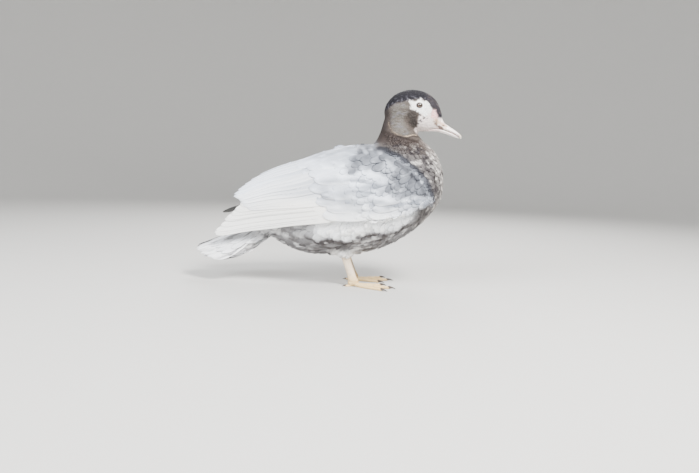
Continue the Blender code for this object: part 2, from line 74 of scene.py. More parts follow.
# Shader nodes, written as sums and products of their outputs
class Wire:
    def __init__(self, tree, socket=None):
        self.tree, self.socket = tree, socket

    def node(self, kind, settings=None, values=None, out=0):
        made = self.tree.nodes.new(kind)
        for name, value in (settings or {}).items():
            setattr(made, name, value)
        for name, value in (values or {}).items():
            if isinstance(value, Wire):
                self.tree.links.new(value.socket, made.inputs[name])
            elif value is not None:
                made.inputs[name].default_value = value
        return Wire(self.tree, made.outputs[out])

    def maths(self, operation, *values):
        return self.node("ShaderNodeMath", {"operation": operation}, dict(enumerate(values)))

    def __add__(self, other):
        return self.maths("ADD", self, other)

    def __mul__(self, other):
        return self.maths("MULTIPLY", self, other)

    __radd__, __rmul__ = __add__, __mul__

    def between(self, low, high):
        return self.node("ShaderNodeMapRange", {"interpolation_type": "SMOOTHSTEP"},
                         {"Value": self, "From Min": low, "From Max": high})

    def mixed(self, first, second, blend="MIX"):
        return self.node("ShaderNodeMix", {"data_type": "RGBA", "blend_type": blend},
                         {0: self, 6: first, 7: second}, out=2)

    def noise(self, scale, detail, where=None):
        return self.node("ShaderNodeTexNoise", None, {"Vector": where, "Scale": scale, "Detail": detail})

    def bump(self, height, strength, distance):
        return self.node("ShaderNodeBump", None,
                         {"Height": height, "Strength": strength, "Distance": distance})

    def tint(self):  # the colours painted on the mesh
        return self.node("ShaderNodeAttribute", {"attribute_name": "tint"})

    def tinted(self, shade, low, high):  # the painted colours, multiplied from low to high by a shade
        return self.node("ShaderNodeMix", {"data_type": "RGBA", "blend_type": "MULTIPLY"},
                         {0: 1.0, 6: self.tint(), 7: shade.mixed((*low, 1), (*high, 1))}, out=2)


def material(name, sockets):
    made = bpy.data.materials.new(name)
    made.use_nodes = True
    shader = made.node_tree.nodes["Principled BSDF"]
    for socket, value in sockets(Wire(made.node_tree)).items():
        if isinstance(value, Wire):
            made.node_tree.links.new(value.socket, shader.inputs[socket])
        else:
            shader.inputs[socket].default_value = value
    return made


# Meshes; the faces are a list, or all their corners with the size of each
def meshObject(name, points, faces, finish, colours=None, vane=None, bake=None):
    points = np.asarray(points, float)
    if isinstance(faces, list):
        faces = np.concatenate([np.asarray(f) for f in faces]), np.array([len(f) for f in faces])
    corners, sizes = faces
    mesh = bpy.data.meshes.new(name)
    mesh.vertices.add(len(points))
    mesh.vertices.foreach_set("co", points.ravel())
    mesh.loops.add(len(corners))
    mesh.loops.foreach_set("vertex_index", corners.astype(np.int32))
    mesh.polygons.add(len(sizes))
    mesh.polygons.foreach_set("loop_start", (np.cumsum(sizes) - sizes).astype(np.int32))
    mesh.polygons.foreach_set("loop_total", sizes.astype(np.int32))
    mesh.polygons.foreach_set("use_smooth", np.ones(len(sizes), bool))
    mesh.update(calc_edges=True)
    mesh.validate()
    if colours is not None:
        paint(mesh, colours)
    if vane is not None:
        layer = mesh.attributes.new("vane", "FLOAT_VECTOR", "POINT")
        layer.data.foreach_set("vector", np.asarray(vane, np.float32).ravel())
    if bake is not None:
        layer = mesh.uv_layers.new(name="OFBake")
        order = np.empty(len(mesh.loops), np.int32)
        mesh.loops.foreach_get("vertex_index", order)
        layer.data.foreach_set("uv", np.asarray(bake, np.float32)[order].ravel())
    made = bpy.data.objects.new(name, mesh)
    bpy.context.scene.collection.objects.link(made)
    mesh.materials.append(finish)
    return made


def paint(mesh, colours):
    layer = mesh.attributes.new("tint", "FLOAT_COLOR", "POINT")
    full = np.ones((len(colours), 4), np.float32)
    full[:, :3] = colours
    layer.data.foreach_set("color", full.ravel())


def places(mesh):
    rows = np.empty(len(mesh.vertices) * 3)
    mesh.vertices.foreach_get("co", rows)
    return rows.reshape(-1, 3)


def normals(mesh):
    rows = np.empty(len(mesh.vertices) * 3, np.float32)
    mesh.vertex_normals.foreach_get("vector", rows)
    return rows.reshape(-1, 3).astype(float)


def faceOut(obj):
    work = bmesh.new()
    work.from_mesh(obj.data)
    bmesh.ops.recalc_face_normals(work, faces=work.faces)
    if work.calc_volume(signed=True) < 0:
        bmesh.ops.reverse_faces(work, faces=work.faces)
    work.to_mesh(obj.data)
    work.free()
    return obj


def loft(name, rings, finish):  # a closed tube through rings, with a point in the middle of each end
    rings = np.asarray(rings, float)
    rows, count = rings.shape[:2]
    points = rings.reshape(-1, 3)
    faces = []
    for i in range(rows - 1):
        for j in range(count):
            a, b = i * count + j, i * count + (j + 1) % count
            faces.append((a, b, b + count, a + count))
    points = np.vstack([points, rings[0].mean(0), rings[-1].mean(0)])
    last = (rows - 1) * count
    for j in range(count):
        k = (j + 1) % count
        faces += [(len(points) - 2, k, j), (len(points) - 1, last + j, last + k)]
    return faceOut(meshObject(name, points, faces, finish))


def onlySelect(objects):
    bpy.ops.object.select_all(action="DESELECT")
    for obj in objects:
        obj.select_set(True)
    bpy.context.view_layer.objects.active = objects[0]


def joined(name, objects):
    onlySelect(objects)
    bpy.ops.object.join()
    made = bpy.context.view_layer.objects.active
    made.name = made.data.name = name
    return made


def unwrap(obj):
    onlySelect([obj])
    for layer in list(obj.data.uv_layers):
        obj.data.uv_layers.remove(layer)
    obj.data.uv_layers.new(name="OFBake")
    bpy.ops.object.mode_set(mode="EDIT")
    bpy.ops.mesh.select_all(action="SELECT")
    bpy.ops.uv.smart_project(angle_limit=math.radians(66), island_margin=0.002)
    bpy.ops.object.mode_set(mode="OBJECT")


def place(obj, slot, *nodes):
    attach(obj, "root")
    if nodes:
        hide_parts(*nodes)


def finished(obj, colours, slot, *nodes):
    paint(obj.data, colours)
    unwrap(obj)
    place(obj, slot, *nodes)


def through(stations, numbers):  # a smooth curve through evenly numbered stations
    rows = np.array(stations, float)
    slopes = np.gradient(rows, axis=0)
    low = np.clip(np.floor(numbers).astype(int), 0, len(rows) - 2)
    t = (np.asarray(numbers) - low)[:, None]
    a, b, ma, mb = rows[low], rows[low + 1], slopes[low], slopes[low + 1]
    return (a * (1 + 2 * t) * (1 - t) ** 2 + b * t * t * (3 - 2 * t)
            + ma * t * (1 - t) ** 2 + mb * t * t * (t - 1))


# The photo's view, worked out for a picture of 699 by 473 points
camera = {
    "place": (0.11374, -1.25428, 0.22037),
    "yaw": -3.0565, "pitch": -6.048, "roll": 2.0,  # degrees
    "lens": 35.02, "sensor": 36, "near": 0.01,  # millimetres, and metres for the nearest thing seen
}


def makeCamera():
    yaw, pitch, roll = (math.radians(camera[k]) for k in ("yaw", "pitch", "roll"))
    forward = np.array([math.sin(yaw) * math.cos(pitch), math.cos(yaw) * math.cos(pitch),
                        math.sin(pitch)])
    right = np.array([math.cos(yaw), -math.sin(yaw), 0])
    up = np.cross(right, forward)
    r = right * math.cos(roll) + up * math.sin(roll)
    u = -right * math.sin(roll) + up * math.cos(roll)
    made = bpy.data.objects.new("camera", bpy.data.cameras.new("camera"))
    bpy.context.scene.collection.objects.link(made)
    made.data.lens = camera["lens"]
    made.data.sensor_width = camera["sensor"]
    made.data.clip_start = camera["near"]
    made.matrix_world = Matrix([[r[i], u[i], -forward[i], camera["place"][i]] for i in range(3)]
                               + [[0, 0, 0, 1]])
    bpy.context.scene.camera = made


studio = {
    "lamps": [  # name, place, size, watts, tone
        ("key", (0.85, -1.15, 1.55), 0.7, 142, (1.0, 0.98, 0.95)),
        ("fill", (-1.3, -1.5, 1.35), 1.2, 84, (0.95, 0.97, 1.0)),
        ("rim", (0.2, 1.3, 1.4), 1.1, 44, (1.0, 0.985, 0.97)),
    ],
    "aim": (0.02, 0, 0.17),  # what the lamps point at
    "sky": 0.88, "skyTone": (0.95, 0.97, 1.0),
    "floor": (0.50, 0.495, 0.48), "grain": 0.97,  # the paper's tone and that of its darker specks
    "flat": 2.6, "bend": 1.4, "top": 5.0, "around": 64,  # the flat part, the bend, the height, the steps
}


def makeStudio():
    for name, spot, size, power, tone in studio["lamps"]:
        lamp = bpy.data.lights.new(name, "AREA")
        lamp.size, lamp.energy, lamp.color = size, power, tone
        made = bpy.data.objects.new(name, lamp)
        made.location = spot
        aim = Vector(studio["aim"]) - Vector(spot)
        made.rotation_euler = aim.to_track_quat("-Z", "Y").to_euler()
        bpy.context.scene.collection.objects.link(made)
    world = bpy.data.worlds.new("studio")
    world.use_nodes = True
    back = world.node_tree.nodes["Background"]
    back.inputs["Color"].default_value = (*studio["skyTone"], 1)
    back.inputs["Strength"].default_value = studio["sky"]
    bpy.context.scene.world = world
    # one round sweep of pale paper, alike from every side
    flat, bend, around = studio["flat"], studio["bend"], studio["around"]
    profile = [(flat * k / 6, 0.0) for k in range(1, 7)]
    profile += [(flat + bend * math.sin(a), bend - bend * math.cos(a)) for a in np.linspace(0.12, 1.57, 12)]
    profile += [(flat + bend, studio["top"])]
    points = [(r * math.cos(a), r * math.sin(a), z) for r, z in profile for a in circle(around)]
    points = [(0, 0, 0)] + points
    faces = [(0, 1 + j, 1 + (j + 1) % around) for j in range(around)]
    for i in range(len(profile) - 1):
        for j in range(around):
            a, b = 1 + i * around + j, 1 + i * around + (j + 1) % around
            faces.append((a, a + around, b + around, b))

    def paper(w):
        darker = [c * studio["grain"] for c in studio["floor"]]
        tone = w.noise(180.0, 3.0).mixed((*studio["floor"], 1), (*darker, 1))
        return {"Base Color": tone, "Roughness": 0.85}

    meshObject("floor", points, faces, material("paper", paper))


makeCamera()
makeStudio()
print("camera and studio made")

# Markings
plumage = {
    "crown": (24, 23, 29), "speck": (122, 121, 129), "nape": (54, 48, 47), "cheek": (104, 101, 96),
    "side": (84, 76, 71), "temple": (52, 47, 45), "forehead": (42, 39, 44), "mask": (252, 251, 250),
    "face": (240, 227, 223), "pink": (242, 196, 200), "crease": (206, 184, 158),
    "neck": (46, 39, 37), "throat": (68, 58, 54), "pale": (202, 198, 193), "breast": (82, 79, 79),
    "spot": (38, 35, 38), "border": (36, 37, 43), "mantle": (102, 106, 114), "back": (200, 208, 222),
    "haze": (128, 134, 145),
    "covert": (227, 235, 248), "flank": (247, 250, 254), "rear": (158, 158, 161), "belly": (122, 121, 123),
    "streak": (218, 218, 219), "edge": (58, 54, 55), "rump": (222, 224, 228), "thigh": (228, 226, 224),
    "tan": (204, 172, 140), "nostril": (84, 62, 50),
}
# Outlines and lines of the markings, seen from the side: x and z in millimetres
mask = np.array([  # the white round the eye
    (145.5, 337.5), (151, 335.5), (156.5, 335), (160, 338), (163, 339.5), (166.5, 343), (170, 339), (174, 336.5),
    (178, 337), (180, 332.5), (183.5, 331), (186, 327), (187.5, 322), (186, 317), (181, 315.5), (177, 313),
    (175, 310), (170, 314), (165, 314), (160.5, 316.5), (157, 318.5), (151.5, 319), (147.5, 322), (146, 325),
    (150, 328.5), (147, 333),
]) / 1000
lowFace = np.array([
    (184, 318), (191, 308), (199, 291), (206, 287), (191, 282), (178, 281), (171, 280), (166, 277), (161, 281),
    (157.5, 286), (158.5, 290), (162.5, 291.5), (164, 297), (162.5, 304), (163.5, 309.5), (168, 314), (178.5, 317),
]) / 1000
darkPatch = np.array([(146, 319), (153.5, 320), (158, 316.5), (160.5, 312), (161.5, 306), (162, 299), (163, 293),
                      (158, 290.5), (152, 293), (147.5, 299), (145.5, 308)]) / 1000
disc = np.array([(113.5, 312), (116, 324), (124.5, 330.5), (136, 332), (144, 328), (145.5, 317), (138, 309),
                 (136, 300), (142, 289), (150, 281), (146, 276.5), (135, 276), (124, 281), (117.5, 288),
                 (114, 299)]) / 1000
pinkPatch = np.array([(187.5, 323.5), (193, 322), (197, 314), (199, 308), (195, 303.5), (190, 306.5), (187, 312),
                      (186, 319)]) / 1000
specks = np.array([(165.3, 312.9, 2.2), (172.7, 308.4, 2.9), (177.7, 312.4, 1.9), (179.4, 306.8, 1.8),
                   (166.3, 301.6, 2.6), (164.2, 296.9, 2.0), (169.8, 298.9, 2.2), (157.4, 321.1, 1.5),
                   (148.6, 326.5, 1.3), (159.0, 338.0, 1.6), (153.0, 333.0, 1.2)]) / 1000
crownLow = np.array([(100, 316), (110.5, 324.5), (116, 329.5), (124.5, 333.5), (134, 335), (144, 338), (154.5, 339),
                     (166, 342), (175, 338), (181, 334), (187, 326), (195, 318), (206, 300)]) / 1000
crease = np.array([(111.5, 297), (113, 291), (115, 285.5), (118.5, 281.5), (123, 278), (128, 275.5), (134.5, 273.5),
                   (140.5, 272.5), (146, 273.5), (151, 275.5), (156, 277), (162, 276)]) / 1000
mantleShape = np.array([
    (70, 275), (60, 262), (58, 248), (57, 240), (48, 229), (40, 215), (45, 206), (53, 201), (60, 206), (68, 214),
    (83, 212), (90, 207), (103, 207), (112, 203), (119, 198), (115, 191), (106, 186), (98, 179), (102, 172),
    (111, 174), (124, 168), (138, 165), (156, 166), (176, 168), (189, 172), (190, 182), (184, 190), (179, 198),
    (166, 211), (153, 222), (141, 232), (124, 241), (108, 248), (100, 262), (100, 275),
]) / 1000
borderLine = np.array([(96, 251), (107.5, 247.5), (114, 244.5), (124, 240.5), (132.5, 236.5), (141, 232),
                       (147, 227.5), (153, 221.5), (159, 217), (165.5, 211), (173, 204), (179, 197), (183.5, 190),
                       (186.5, 182.5), (189, 175), (193, 168), (194, 150)]) / 1000
flankLine = np.array([(-100, 104), (-60, 96), (-25, 92), (-9, 85), (17, 87), (46, 85.5), (64, 93), (79, 100),
                      (93, 105), (110, 100), (131, 106), (152, 119), (162, 125), (172, 138), (184, 160)]) / 1000
# the breast's outline, as z and x in metres
frontLine = np.array([(0, 0.172), (0.10, 0.172), (0.118, 0.181), (0.143, 0.202), (0.164, 0.2125), (0.190, 0.216),
                      (0.207, 0.211), (0.222, 0.207), (0.249, 0.190), (0.268, 0.176), (0.281, 0.165)])
# the brown streak and the tan line from the face into the bill
streakLine = np.array([(190, 302), (193.5, 298), (198, 295), (204, 292.5), (208, 290.5)]) / 1000
tanLine = np.array([(194, 304.5), (200, 301.5), (207, 297.5), (213.5, 294)]) / 1000
eyeMiddle = np.array([0.1642, 0.3288])
lattice = np.array(Euler((0.6, 0.5, 0.7)).to_matrix())  # turned, so no patch lies along an axis


def noiseAt(points, size, seed=0.0):  # smooth value noise from -1 to 1, for rows of points
    p = np.asarray(points, float) @ lattice / size + 31.7 * (seed + 1)
    cell = np.floor(p).astype(np.int64)
    t = p - cell
    t = t * t * (3 - 2 * t)
    total = np.zeros(len(p))
    for i in (0, 1):
        for j in (0, 1):
            for k in (0, 1):
                c = cell + (i, j, k)
                h = (c[:, 0] * 73856093) ^ (c[:, 1] * 19349663) ^ (c[:, 2] * 83492791)
                h = (h * 2654435761) & 0xFFFFFFFF
                value = (h ^ (h >> 15)) % 10007 / 5003.5 - 1
                weight = (np.where(i, t[:, 0], 1 - t[:, 0]) * np.where(j, t[:, 1], 1 - t[:, 1])
                          * np.where(k, t[:, 2], 1 - t[:, 2]))
                total += value * weight
    return total


def toLine(flat, line):  # distance from rows of (x, z) to a broken line
    best = np.full(len(flat), 1e9)
    for a, b in zip(line[:-1], line[1:]):
        t = np.clip(((flat - a) @ (b - a)) / ((b - a) @ (b - a)), 0, 1)
        best = np.minimum(best, np.linalg.norm(flat - a - t[:, None] * (b - a), axis=1))
    return best


def within(flat, outline):  # how far inside a closed outline, negative outside
    x, z = flat.T
    inside = np.zeros(len(flat), bool)
    for (ax, az), (bx, bz) in zip(outline, np.roll(outline, -1, 0)):
        crosses = (az > z) != (bz > z)
        inside ^= crosses & (x < (bx - ax) * (z - az) / ((bz - az) or 1e-9) + ax)
    gap = toLine(flat, np.vstack([outline, outline[:1]]))
    return np.where(inside, gap, -gap)


def frontAt(z):  # x where the wing ends and the breast begins
    return np.interp(z, borderLine[::-1, 1], borderLine[::-1, 0])


def fromEye(x, z, tall=1.0):
    return np.hypot(x - eyeMiddle[0], tall * (z - eyeMiddle[1]))


def mantleAt(p, flat):  # 1 on the darker feathers of the shoulder and upper back
    inside = within(flat, mantleShape)
    return smooth(-0.0055, 0.0055, inside + 0.0030 * noiseAt(p, 0.010, 14))


def markings(points):  # the bird's colours at rows of places, as linear tones
    p = np.asarray(points, float)
    x, y, z = p.T
    flat = np.column_stack([x + 0.0012 * noiseAt(p, 0.006, 1), z + 0.0012 * noiseAt(p, 0.006, 2)])
    coarse, fine = noiseAt(p, 0.022, 3), noiseAt(p, 0.008, 4)
    tone = {name: np.asarray(value, float) for name, value in plumage.items()}
    over = layers(tone)
    # body
    c = np.tile(tone["flank"], (len(p), 1))
    c = over(c, "covert", smooth(0.13, 0.18, z))
    under = np.interp(x, *flankLine.T) + 0.004 * noiseAt(p, 0.011, 13) - z
    rear = smooth(0.0, -0.03, x) * smooth(0.135, 0.115, z) * smooth(0.06, 0.075, z)
    c = over(c, "rear", rear)
    c = over(c, "streak", 0.8 * rear * smooth(0.0, 0.5, noiseAt(p * [0.45, 1, 1.2], 0.007, 15)))
    c = over(c, "edge", 0.45 * rear * smooth(0.1, 0.7, noiseAt(p * [0.45, 1, 1.2], 0.006, 16)))
    c = over(c, "belly", smooth(-0.001, 0.004, under))
    toTail = smooth(-0.085, -0.115, x) * smooth(0.13, 0.11, z)
    c = over(c, "rump", toTail)
    strokes = noiseAt(np.column_stack([0.25 * (0.91 * x + 0.41 * z), y, 0.91 * z - 0.41 * x]), 0.0044, 26)
    c = over(c, "rear", 0.50 * toTail * smooth(0.0, 0.6, strokes) * smooth(-0.235, -0.15, x))
    c = over(c, "flank", 0.75 * toTail * smooth(0.0, 0.5, -strokes))
    c = over(c, "back", smooth(0.20, 0.235, z) * smooth(0.09, 0.02, x))
    mantle = mantleAt(p, flat)
    c = over(c, "mantle", mantle)
    c = over(c, "border", 0.34 * mantle * smooth(0.0, 0.8, noiseAt(p, 0.0085, 17)))
    c = over(c, "covert", 0.42 * mantle * smooth(0.0, 0.8, noiseAt(p, 0.0085, 18)))
    wide = noiseAt(p * [0.45, 1, 1.2], 0.012, 22)
    lines = noiseAt(p * [0.28, 1, 1.3] + [[0, 0, 0.12]] * x[:, None], 0.0052, 29)
    grey = smooth(0.205, 0.190, z) * smooth(0.126, 0.154, z) * (0.58 + 0.24 * smooth(0.02, 0.12, x))
    grey = np.maximum(grey, smooth(0.212, 0.236, z) * (0.52 + 0.46 * smooth(-0.04, 0.03, x)))
    grey = np.maximum(grey, 0.16 * smooth(0.13, 0.17, z)) * (1 - mantle)
    c = over(c, "haze", grey * (0.82 + 0.40 * wide + 0.80 * lines))
    drawnOver = smooth(0.13, 0.17, z) * (1 - mantle) * smooth(0.2, 0.9, lines) * smooth(-0.05, 0.03, x)
    c = over(c, "mantle", 0.25 * drawnOver)
    ahead = smooth(-0.001, 0.003, x - frontAt(z) + 0.0015 * fine)
    ahead = np.where(z > 0.250, smooth(0.085, 0.10, x + 0.2 * (z - 0.25)), ahead)
    ahead = np.where(z < 0.150, smooth(0.155, 0.180, x + 0.30 * (0.150 - z)), ahead)
    c = over(c, "breast", ahead)
    low = smooth(0.118, 0.088, z) * smooth(0.10, 0.15, x)
    c = over(c, "belly", low)
    # neck and breast
    high = smooth(0.222, 0.262, z + 0.25 * (x - 0.19))
    c = over(c, "throat", ahead * high)
    c = over(c, "neck", ahead * high * smooth(0.185, 0.145, x + 0.010 * coarse))
    toFront = np.interp(z, *frontLine.T) - x
    # painted highlight: the breast paler along its front edge, where the light falls
    lit = smooth(0.016, 0.002, toFront + 0.004 * noiseAt(p, 0.010, 19)) * smooth(0.10, 0.13, z) * (z < 0.279)
    c = over(c, "pale", 0.50 * lit * ahead)
    blotch = smooth(0.05, 0.55, noiseAt(p, 0.0066, 5)) * smooth(0.275, 0.235, z + 0.2 * (0.17 - x))
    c = over(c, "pale", 0.78 * blotch * ahead * smooth(0.09, 0.12, z))
    spots = smooth(0.05, 0.55, noiseAt(p, 0.0060, 6)) * smooth(0.278, 0.250, z) * ahead * smooth(0.09, 0.12, z)
    c = over(c, "spot", 0.80 * spots)
    line = toLine(flat, borderLine) + 0.0018 * noiseAt(p, 0.007, 23)
    c = over(c, "border", 0.88 * smooth(0.0062, 0.0014, line) * smooth(0.155, 0.175, z) * (z < 0.262))
    line = toLine(flat + [0.011, 0.006], borderLine) + 0.0020 * noiseAt(p, 0.006, 24)
    second = smooth(0.0048, 0.0008, line) * smooth(0.165, 0.185, z) * smooth(0.238, 0.225, z)
    c = over(c, "border", 0.70 * second)
    # belly, under its dark ragged edge
    inBelly = np.maximum(smooth(0.0, 0.004, under) * (1 - ahead), low)
    c = over(c, "streak", 0.85 * inBelly * smooth(0.0, 0.5, noiseAt(p * [0.6, 1, 1.3], 0.0070, 8)))
    c = over(c, "edge", 0.62 * inBelly * smooth(0.0, 0.5, noiseAt(p * [0.6, 1, 1.3], 0.0060, 7)))
    rim = smooth(0.0060, 0.0012, np.abs(under - 0.0025) + 0.0020 * noiseAt(p, 0.0055, 25))
    rim *= smooth(-0.035, -0.005, x) * smooth(0.165, 0.145, x)
    c = over(c, "edge", 0.88 * rim * (1 - 0.5 * ahead))
    c = over(c, "thigh", smooth(0.070, 0.058, z) * smooth(0.070, 0.056, x) * smooth(0.010, 0.022, x))
    # head
    head = smooth(0.2655, 0.2715, z + 0.30 * np.minimum(x - 0.15, 0) + 0.0015 * fine) * smooth(0.090, 0.098, x)
    tiny, small = noiseAt(p, 0.0024, 9), noiseAt(p, 0.0036, 12)
    edges = flat + 0.0016 * np.column_stack([noiseAt(p, 0.0024, 10), noiseAt(p, 0.0024, 11)])
    h = np.tile(tone["side"], (len(p), 1))
    brushed = noiseAt(p * [0.5, 1, 1.2], 0.0034, 27)
    h = over(h, "cheek", smooth(-0.0085, 0.0075, within(flat, disc) + 0.0030 * brushed))
    h = over(h, "side", 0.75 * smooth(0.0, 0.8, brushed) * smooth(-0.002, 0.004, within(flat, disc)))
    h = over(h, "speck", 0.62 * smooth(0.0, 0.8, -brushed) * smooth(-0.002, 0.004, within(flat, disc)))
    h = over(h, "nape", smooth(0.1190, 0.1060, x + 0.0030 * brushed + 0.04 * (0.305 - z)))
    h = over(h, "temple", 0.94 * smooth(-0.0060, 0.0040, within(edges, darkPatch) + 0.0026 * brushed))
    h = over(h, "cheek", 0.40 * smooth(0.1, 0.8, brushed) * smooth(0.0, 0.003, within(edges, darkPatch)))
    h = over(h, "side", 0.35 * smooth(0.1, 0.8, small))
    above = z - np.interp(x, *crownLow.T) + 0.0012 * fine
    h = over(h, "crown", smooth(-0.003, 0.003, above))
    h = over(h, "speck", 0.60 * smooth(0.0, 0.6, tiny + 0.3 * small) * smooth(-0.006, 0.0, above)
             * smooth(0.011, 0.002, above))
    h = over(h, "speck", 0.16 * smooth(0.1, 0.7, tiny) * smooth(0.0, 0.004, above))
    h = over(h, "forehead", smooth(0.176, 0.184, x + 0.3 * (z - 0.335)) * smooth(0.311, 0.318, z))
    h = over(h, "side", 0.65 * smooth(0.0, 0.7, brushed) * smooth(0.172, 0.182, x) * smooth(0.309, 0.314, z))
    h = over(h, "speck", 0.25 * smooth(0.1, 0.7, small) * smooth(0.176, 0.186, x) * smooth(0.309, 0.314, z))
    h = over(h, "face", smooth(-0.0026, 0.0020, within(edges, lowFace)))
    h = over(h, "face", smooth(0.196, 0.2, x) * smooth(0.312, 0.306, z))
    shape = smooth(-0.0014, 0.0014, within(edges, mask))
    h = over(h, "mask", shape * (np.abs(y) > 0.009))
    h = over(h, "cheek", 0.35 * shape * smooth(0.35, 0.8, small) * smooth(0.162, 0.150, x))
    for sx, sz, size in specks:
        near = np.hypot(edges[:, 0] - sx, edges[:, 1] - sz)
        h = over(h, "crown", 0.85 * smooth(size, size * 0.5, near) * (np.abs(y) > 0.008))
    h = over(h, "pink", 0.9 * smooth(-0.0015, 0.0015, within(edges, pinkPatch)))
    fold = toLine(flat, crease) + 0.0005 * noiseAt(p, 0.0032, 28)
    h = over(h, "crease", (0.75 + 0.25 * small) * smooth(0.0015, 0.0003, fold))
    h = over(h, "neck", 0.45 * smooth(0.0026, 0.0008, np.abs(toLine(flat + [-0.0012, 0.0022], crease))))
    onFace = smooth(0.186, 0.194, x)
    h = over(h, "tan", 0.65 * smooth(0.0040, 0.0012, toLine(edges, tanLine)) * onFace)
    h = over(h, "nostril", 0.80 * smooth(0.0024, 0.0007, toLine(edges, streakLine)) * onFace)
    c = c + (h - c) * head[:, None]
    c = c * (1 + 0.03 * coarse + 0.04 * fine)[:, None]
    return srgb(c)


print("markings ready")

# The folded wings and the tail, in the same measures as the solids
wingRows = np.array([  # x, then y and z of the upper edge, the bulge and the lower edge, millimetres
    (200, 30, 224, 66, 186, 64, 163), (154, 26, 253, 86, 186, 82, 139), (104, 22, 263, 95, 182, 91, 126),
    (54, 18, 261, 99, 176, 95, 125), (4, 14, 250, 96, 168, 92, 121), (-46, 11, 230, 85, 157, 82, 116),
    (-96, 9, 210, 67, 147, 65, 107), (-146, 8, 182, 48, 132, 48, 97), (-201, 8, 148, 31, 113, 33, 82),
], float)
upperEdge, lowerEdge = 2, 6  # their columns
wingLift = {"right": 0.0, "left": 0.026}  # how much higher the end of each wing lies
widest = 0.66  # how far down the wing its bulge is
tail = {
    "root": (-0.091, 0.120), "tip": (-0.239, 0.053), "half": (0.024, 0.022), "rounded": 0.30,
    "deep": (0.030, 0.030), "core": 0.74, "roll": 0.24, "drop": 0.026,
}


def wingEdge(x, column):  # height of the folded wing's upper or lower edge
    return np.interp(-x * 1000, -wingRows[:, 0], wingRows[:, column]) / 1000


def towardsEnd(x):  # 0 in front, growing to 1 at the end of the folded wing
    return np.clip((0.024 - x) / 0.2, 0, 1) ** 2


def wingFace(x, t, which):  # places on the folded wing, t from its upper edge to its lower one
    x, t = np.broadcast_arrays(np.asarray(x, float), np.asarray(t, float))
    shape = x.shape
    x, t = x.ravel(), t.ravel()
    row = through(wingRows, np.interp(-x * 1000, -wingRows[:, 0], np.arange(len(wingRows)))) / 1000
    turn = math.pi / 2 * t / widest
    down = (t - widest) / (1 - widest)
    high = t < widest
    y = np.where(high, row[:, 1] + (row[:, 3] - row[:, 1]) * np.sin(turn),
                 row[:, 3] + (row[:, 5] - row[:, 3]) * down * down)
    z = np.where(high, row[:, 4] + (row[:, 2] - row[:, 4]) * np.cos(turn),
                 row[:, 4] + (row[:, 6] - row[:, 4]) * down)
    rise = wingLift[which] * t * towardsEnd(x)
    return np.stack([x, sides[which] * y, z + rise], -1).reshape(*shape, 3)


def tailFace(s, u, under=0.0):  # places on the tail, s from root to tip, u from side to side
    s, u = np.broadcast_arrays(np.asarray(s, float), np.asarray(u, float))
    reach = s * (1 - tail["rounded"] * u * u)
    x = tail["root"][0] + (tail["tip"][0] - tail["root"][0]) * reach
    z = tail["root"][1] + (tail["tip"][1] - tail["root"][1]) * reach
    y = u * (tail["half"][0] + tail["half"][1] * np.maximum(s, 0) ** 0.8)
    z = z - tail["drop"] * np.sin(2.1 * s) * u * u + tail["roll"] * y * np.clip(s * 2, 0, 1)
    return np.stack([x, y, z - under * (tail["deep"][0] - tail["deep"][1] * s)], -1)


def normalOn(face, a, b, turned):
    step = 0.001
    along = face(a + step, b) - face(a - step, b)
    across = face(a, b + step) - face(a, b - step)
    return turned * unit(np.cross(along, across))


def shellFaces(rows, across):  # of two sheets of rows x across points, closed round the rim
    faces, under = [], rows * across
    for i in range(rows - 1):
        for j in range(across - 1):
            a = i * across + j
            faces += [(a, a + 1, a + across + 1, a + across),
                      (under + a + across, under + a + across + 1, under + a + 1, under + a)]
    rim = list(range(across)) + [i * across + across - 1 for i in range(1, rows)]
    rim += [(rows - 1) * across + j for j in range(across - 2, -1, -1)]
    rim += [i * across for i in range(rows - 2, 0, -1)]
    faces += [(b, a, under + a, under + b) for a, b in zip(rim, rim[1:] + rim[:1])]
    return faces


# One skin under all the feathers
skinSizes = {
    "voxel": 0.0021,
    "inset": 0.0017,  # under the body feathers
    "headInset": 0.0006,
    "wingCoat": 0.0030, "flightCoat": 0.0060,  # depth of the wing's feathers, in front and behind
    "deep": ((-0.112, 0.004), (-0.056, 0.012), (0.024, 0.022)),  # depth of the body under the wing, by x
    "under": (0.197, -0.112), "grid": (60, 40),  # where it begins and ends, and its points
    "tailGrid": (24, 25), "tailDrop": 0.0012,
    "socket": 0.0019,  # how far the skin lies in round the eye
    "back": 0.0014,  # how much lower it lies along the top of the back
    "ease": 4, "darker": 0.8,
}


def wingCoat(x, t=1.0):  # depth of the feathers over the skin under a folded wing
    dip = skinSizes["back"] * smooth(0.18, 0.0, t) * smooth(-0.04, 0.05, x) * smooth(0.16, 0.12, x)
    front, behind = skinSizes["wingCoat"], skinSizes["flightCoat"]
    return front + (behind - front) * smooth(0.07, 0.0, x) + dip


def coreTop(which):  # x, places and normals of the skin's face under a wing, shorter at the upper edge
    rows, across = skinSizes["grid"]
    x, t = np.meshgrid(np.linspace(*skinSizes["under"], rows), np.linspace(0.0, 1.0, across), indexing="ij")
    x = x + 0.045 * smooth(0.40, 0.05, t) * smooth(-0.02, -0.112, x)
    out = normalOn(lambda a, b: wingFace(a, b, which), x, t, sides[which])
    return x, wingFace(x, t, which) - out * wingCoat(x, t)[..., None], out


def coreObject(name, upper, lower, finish):
    points = np.vstack([upper.reshape(-1, 3), lower.reshape(-1, 3)])
    return faceOut(meshObject(name, points, shellFaces(*upper.shape[:2]), finish))


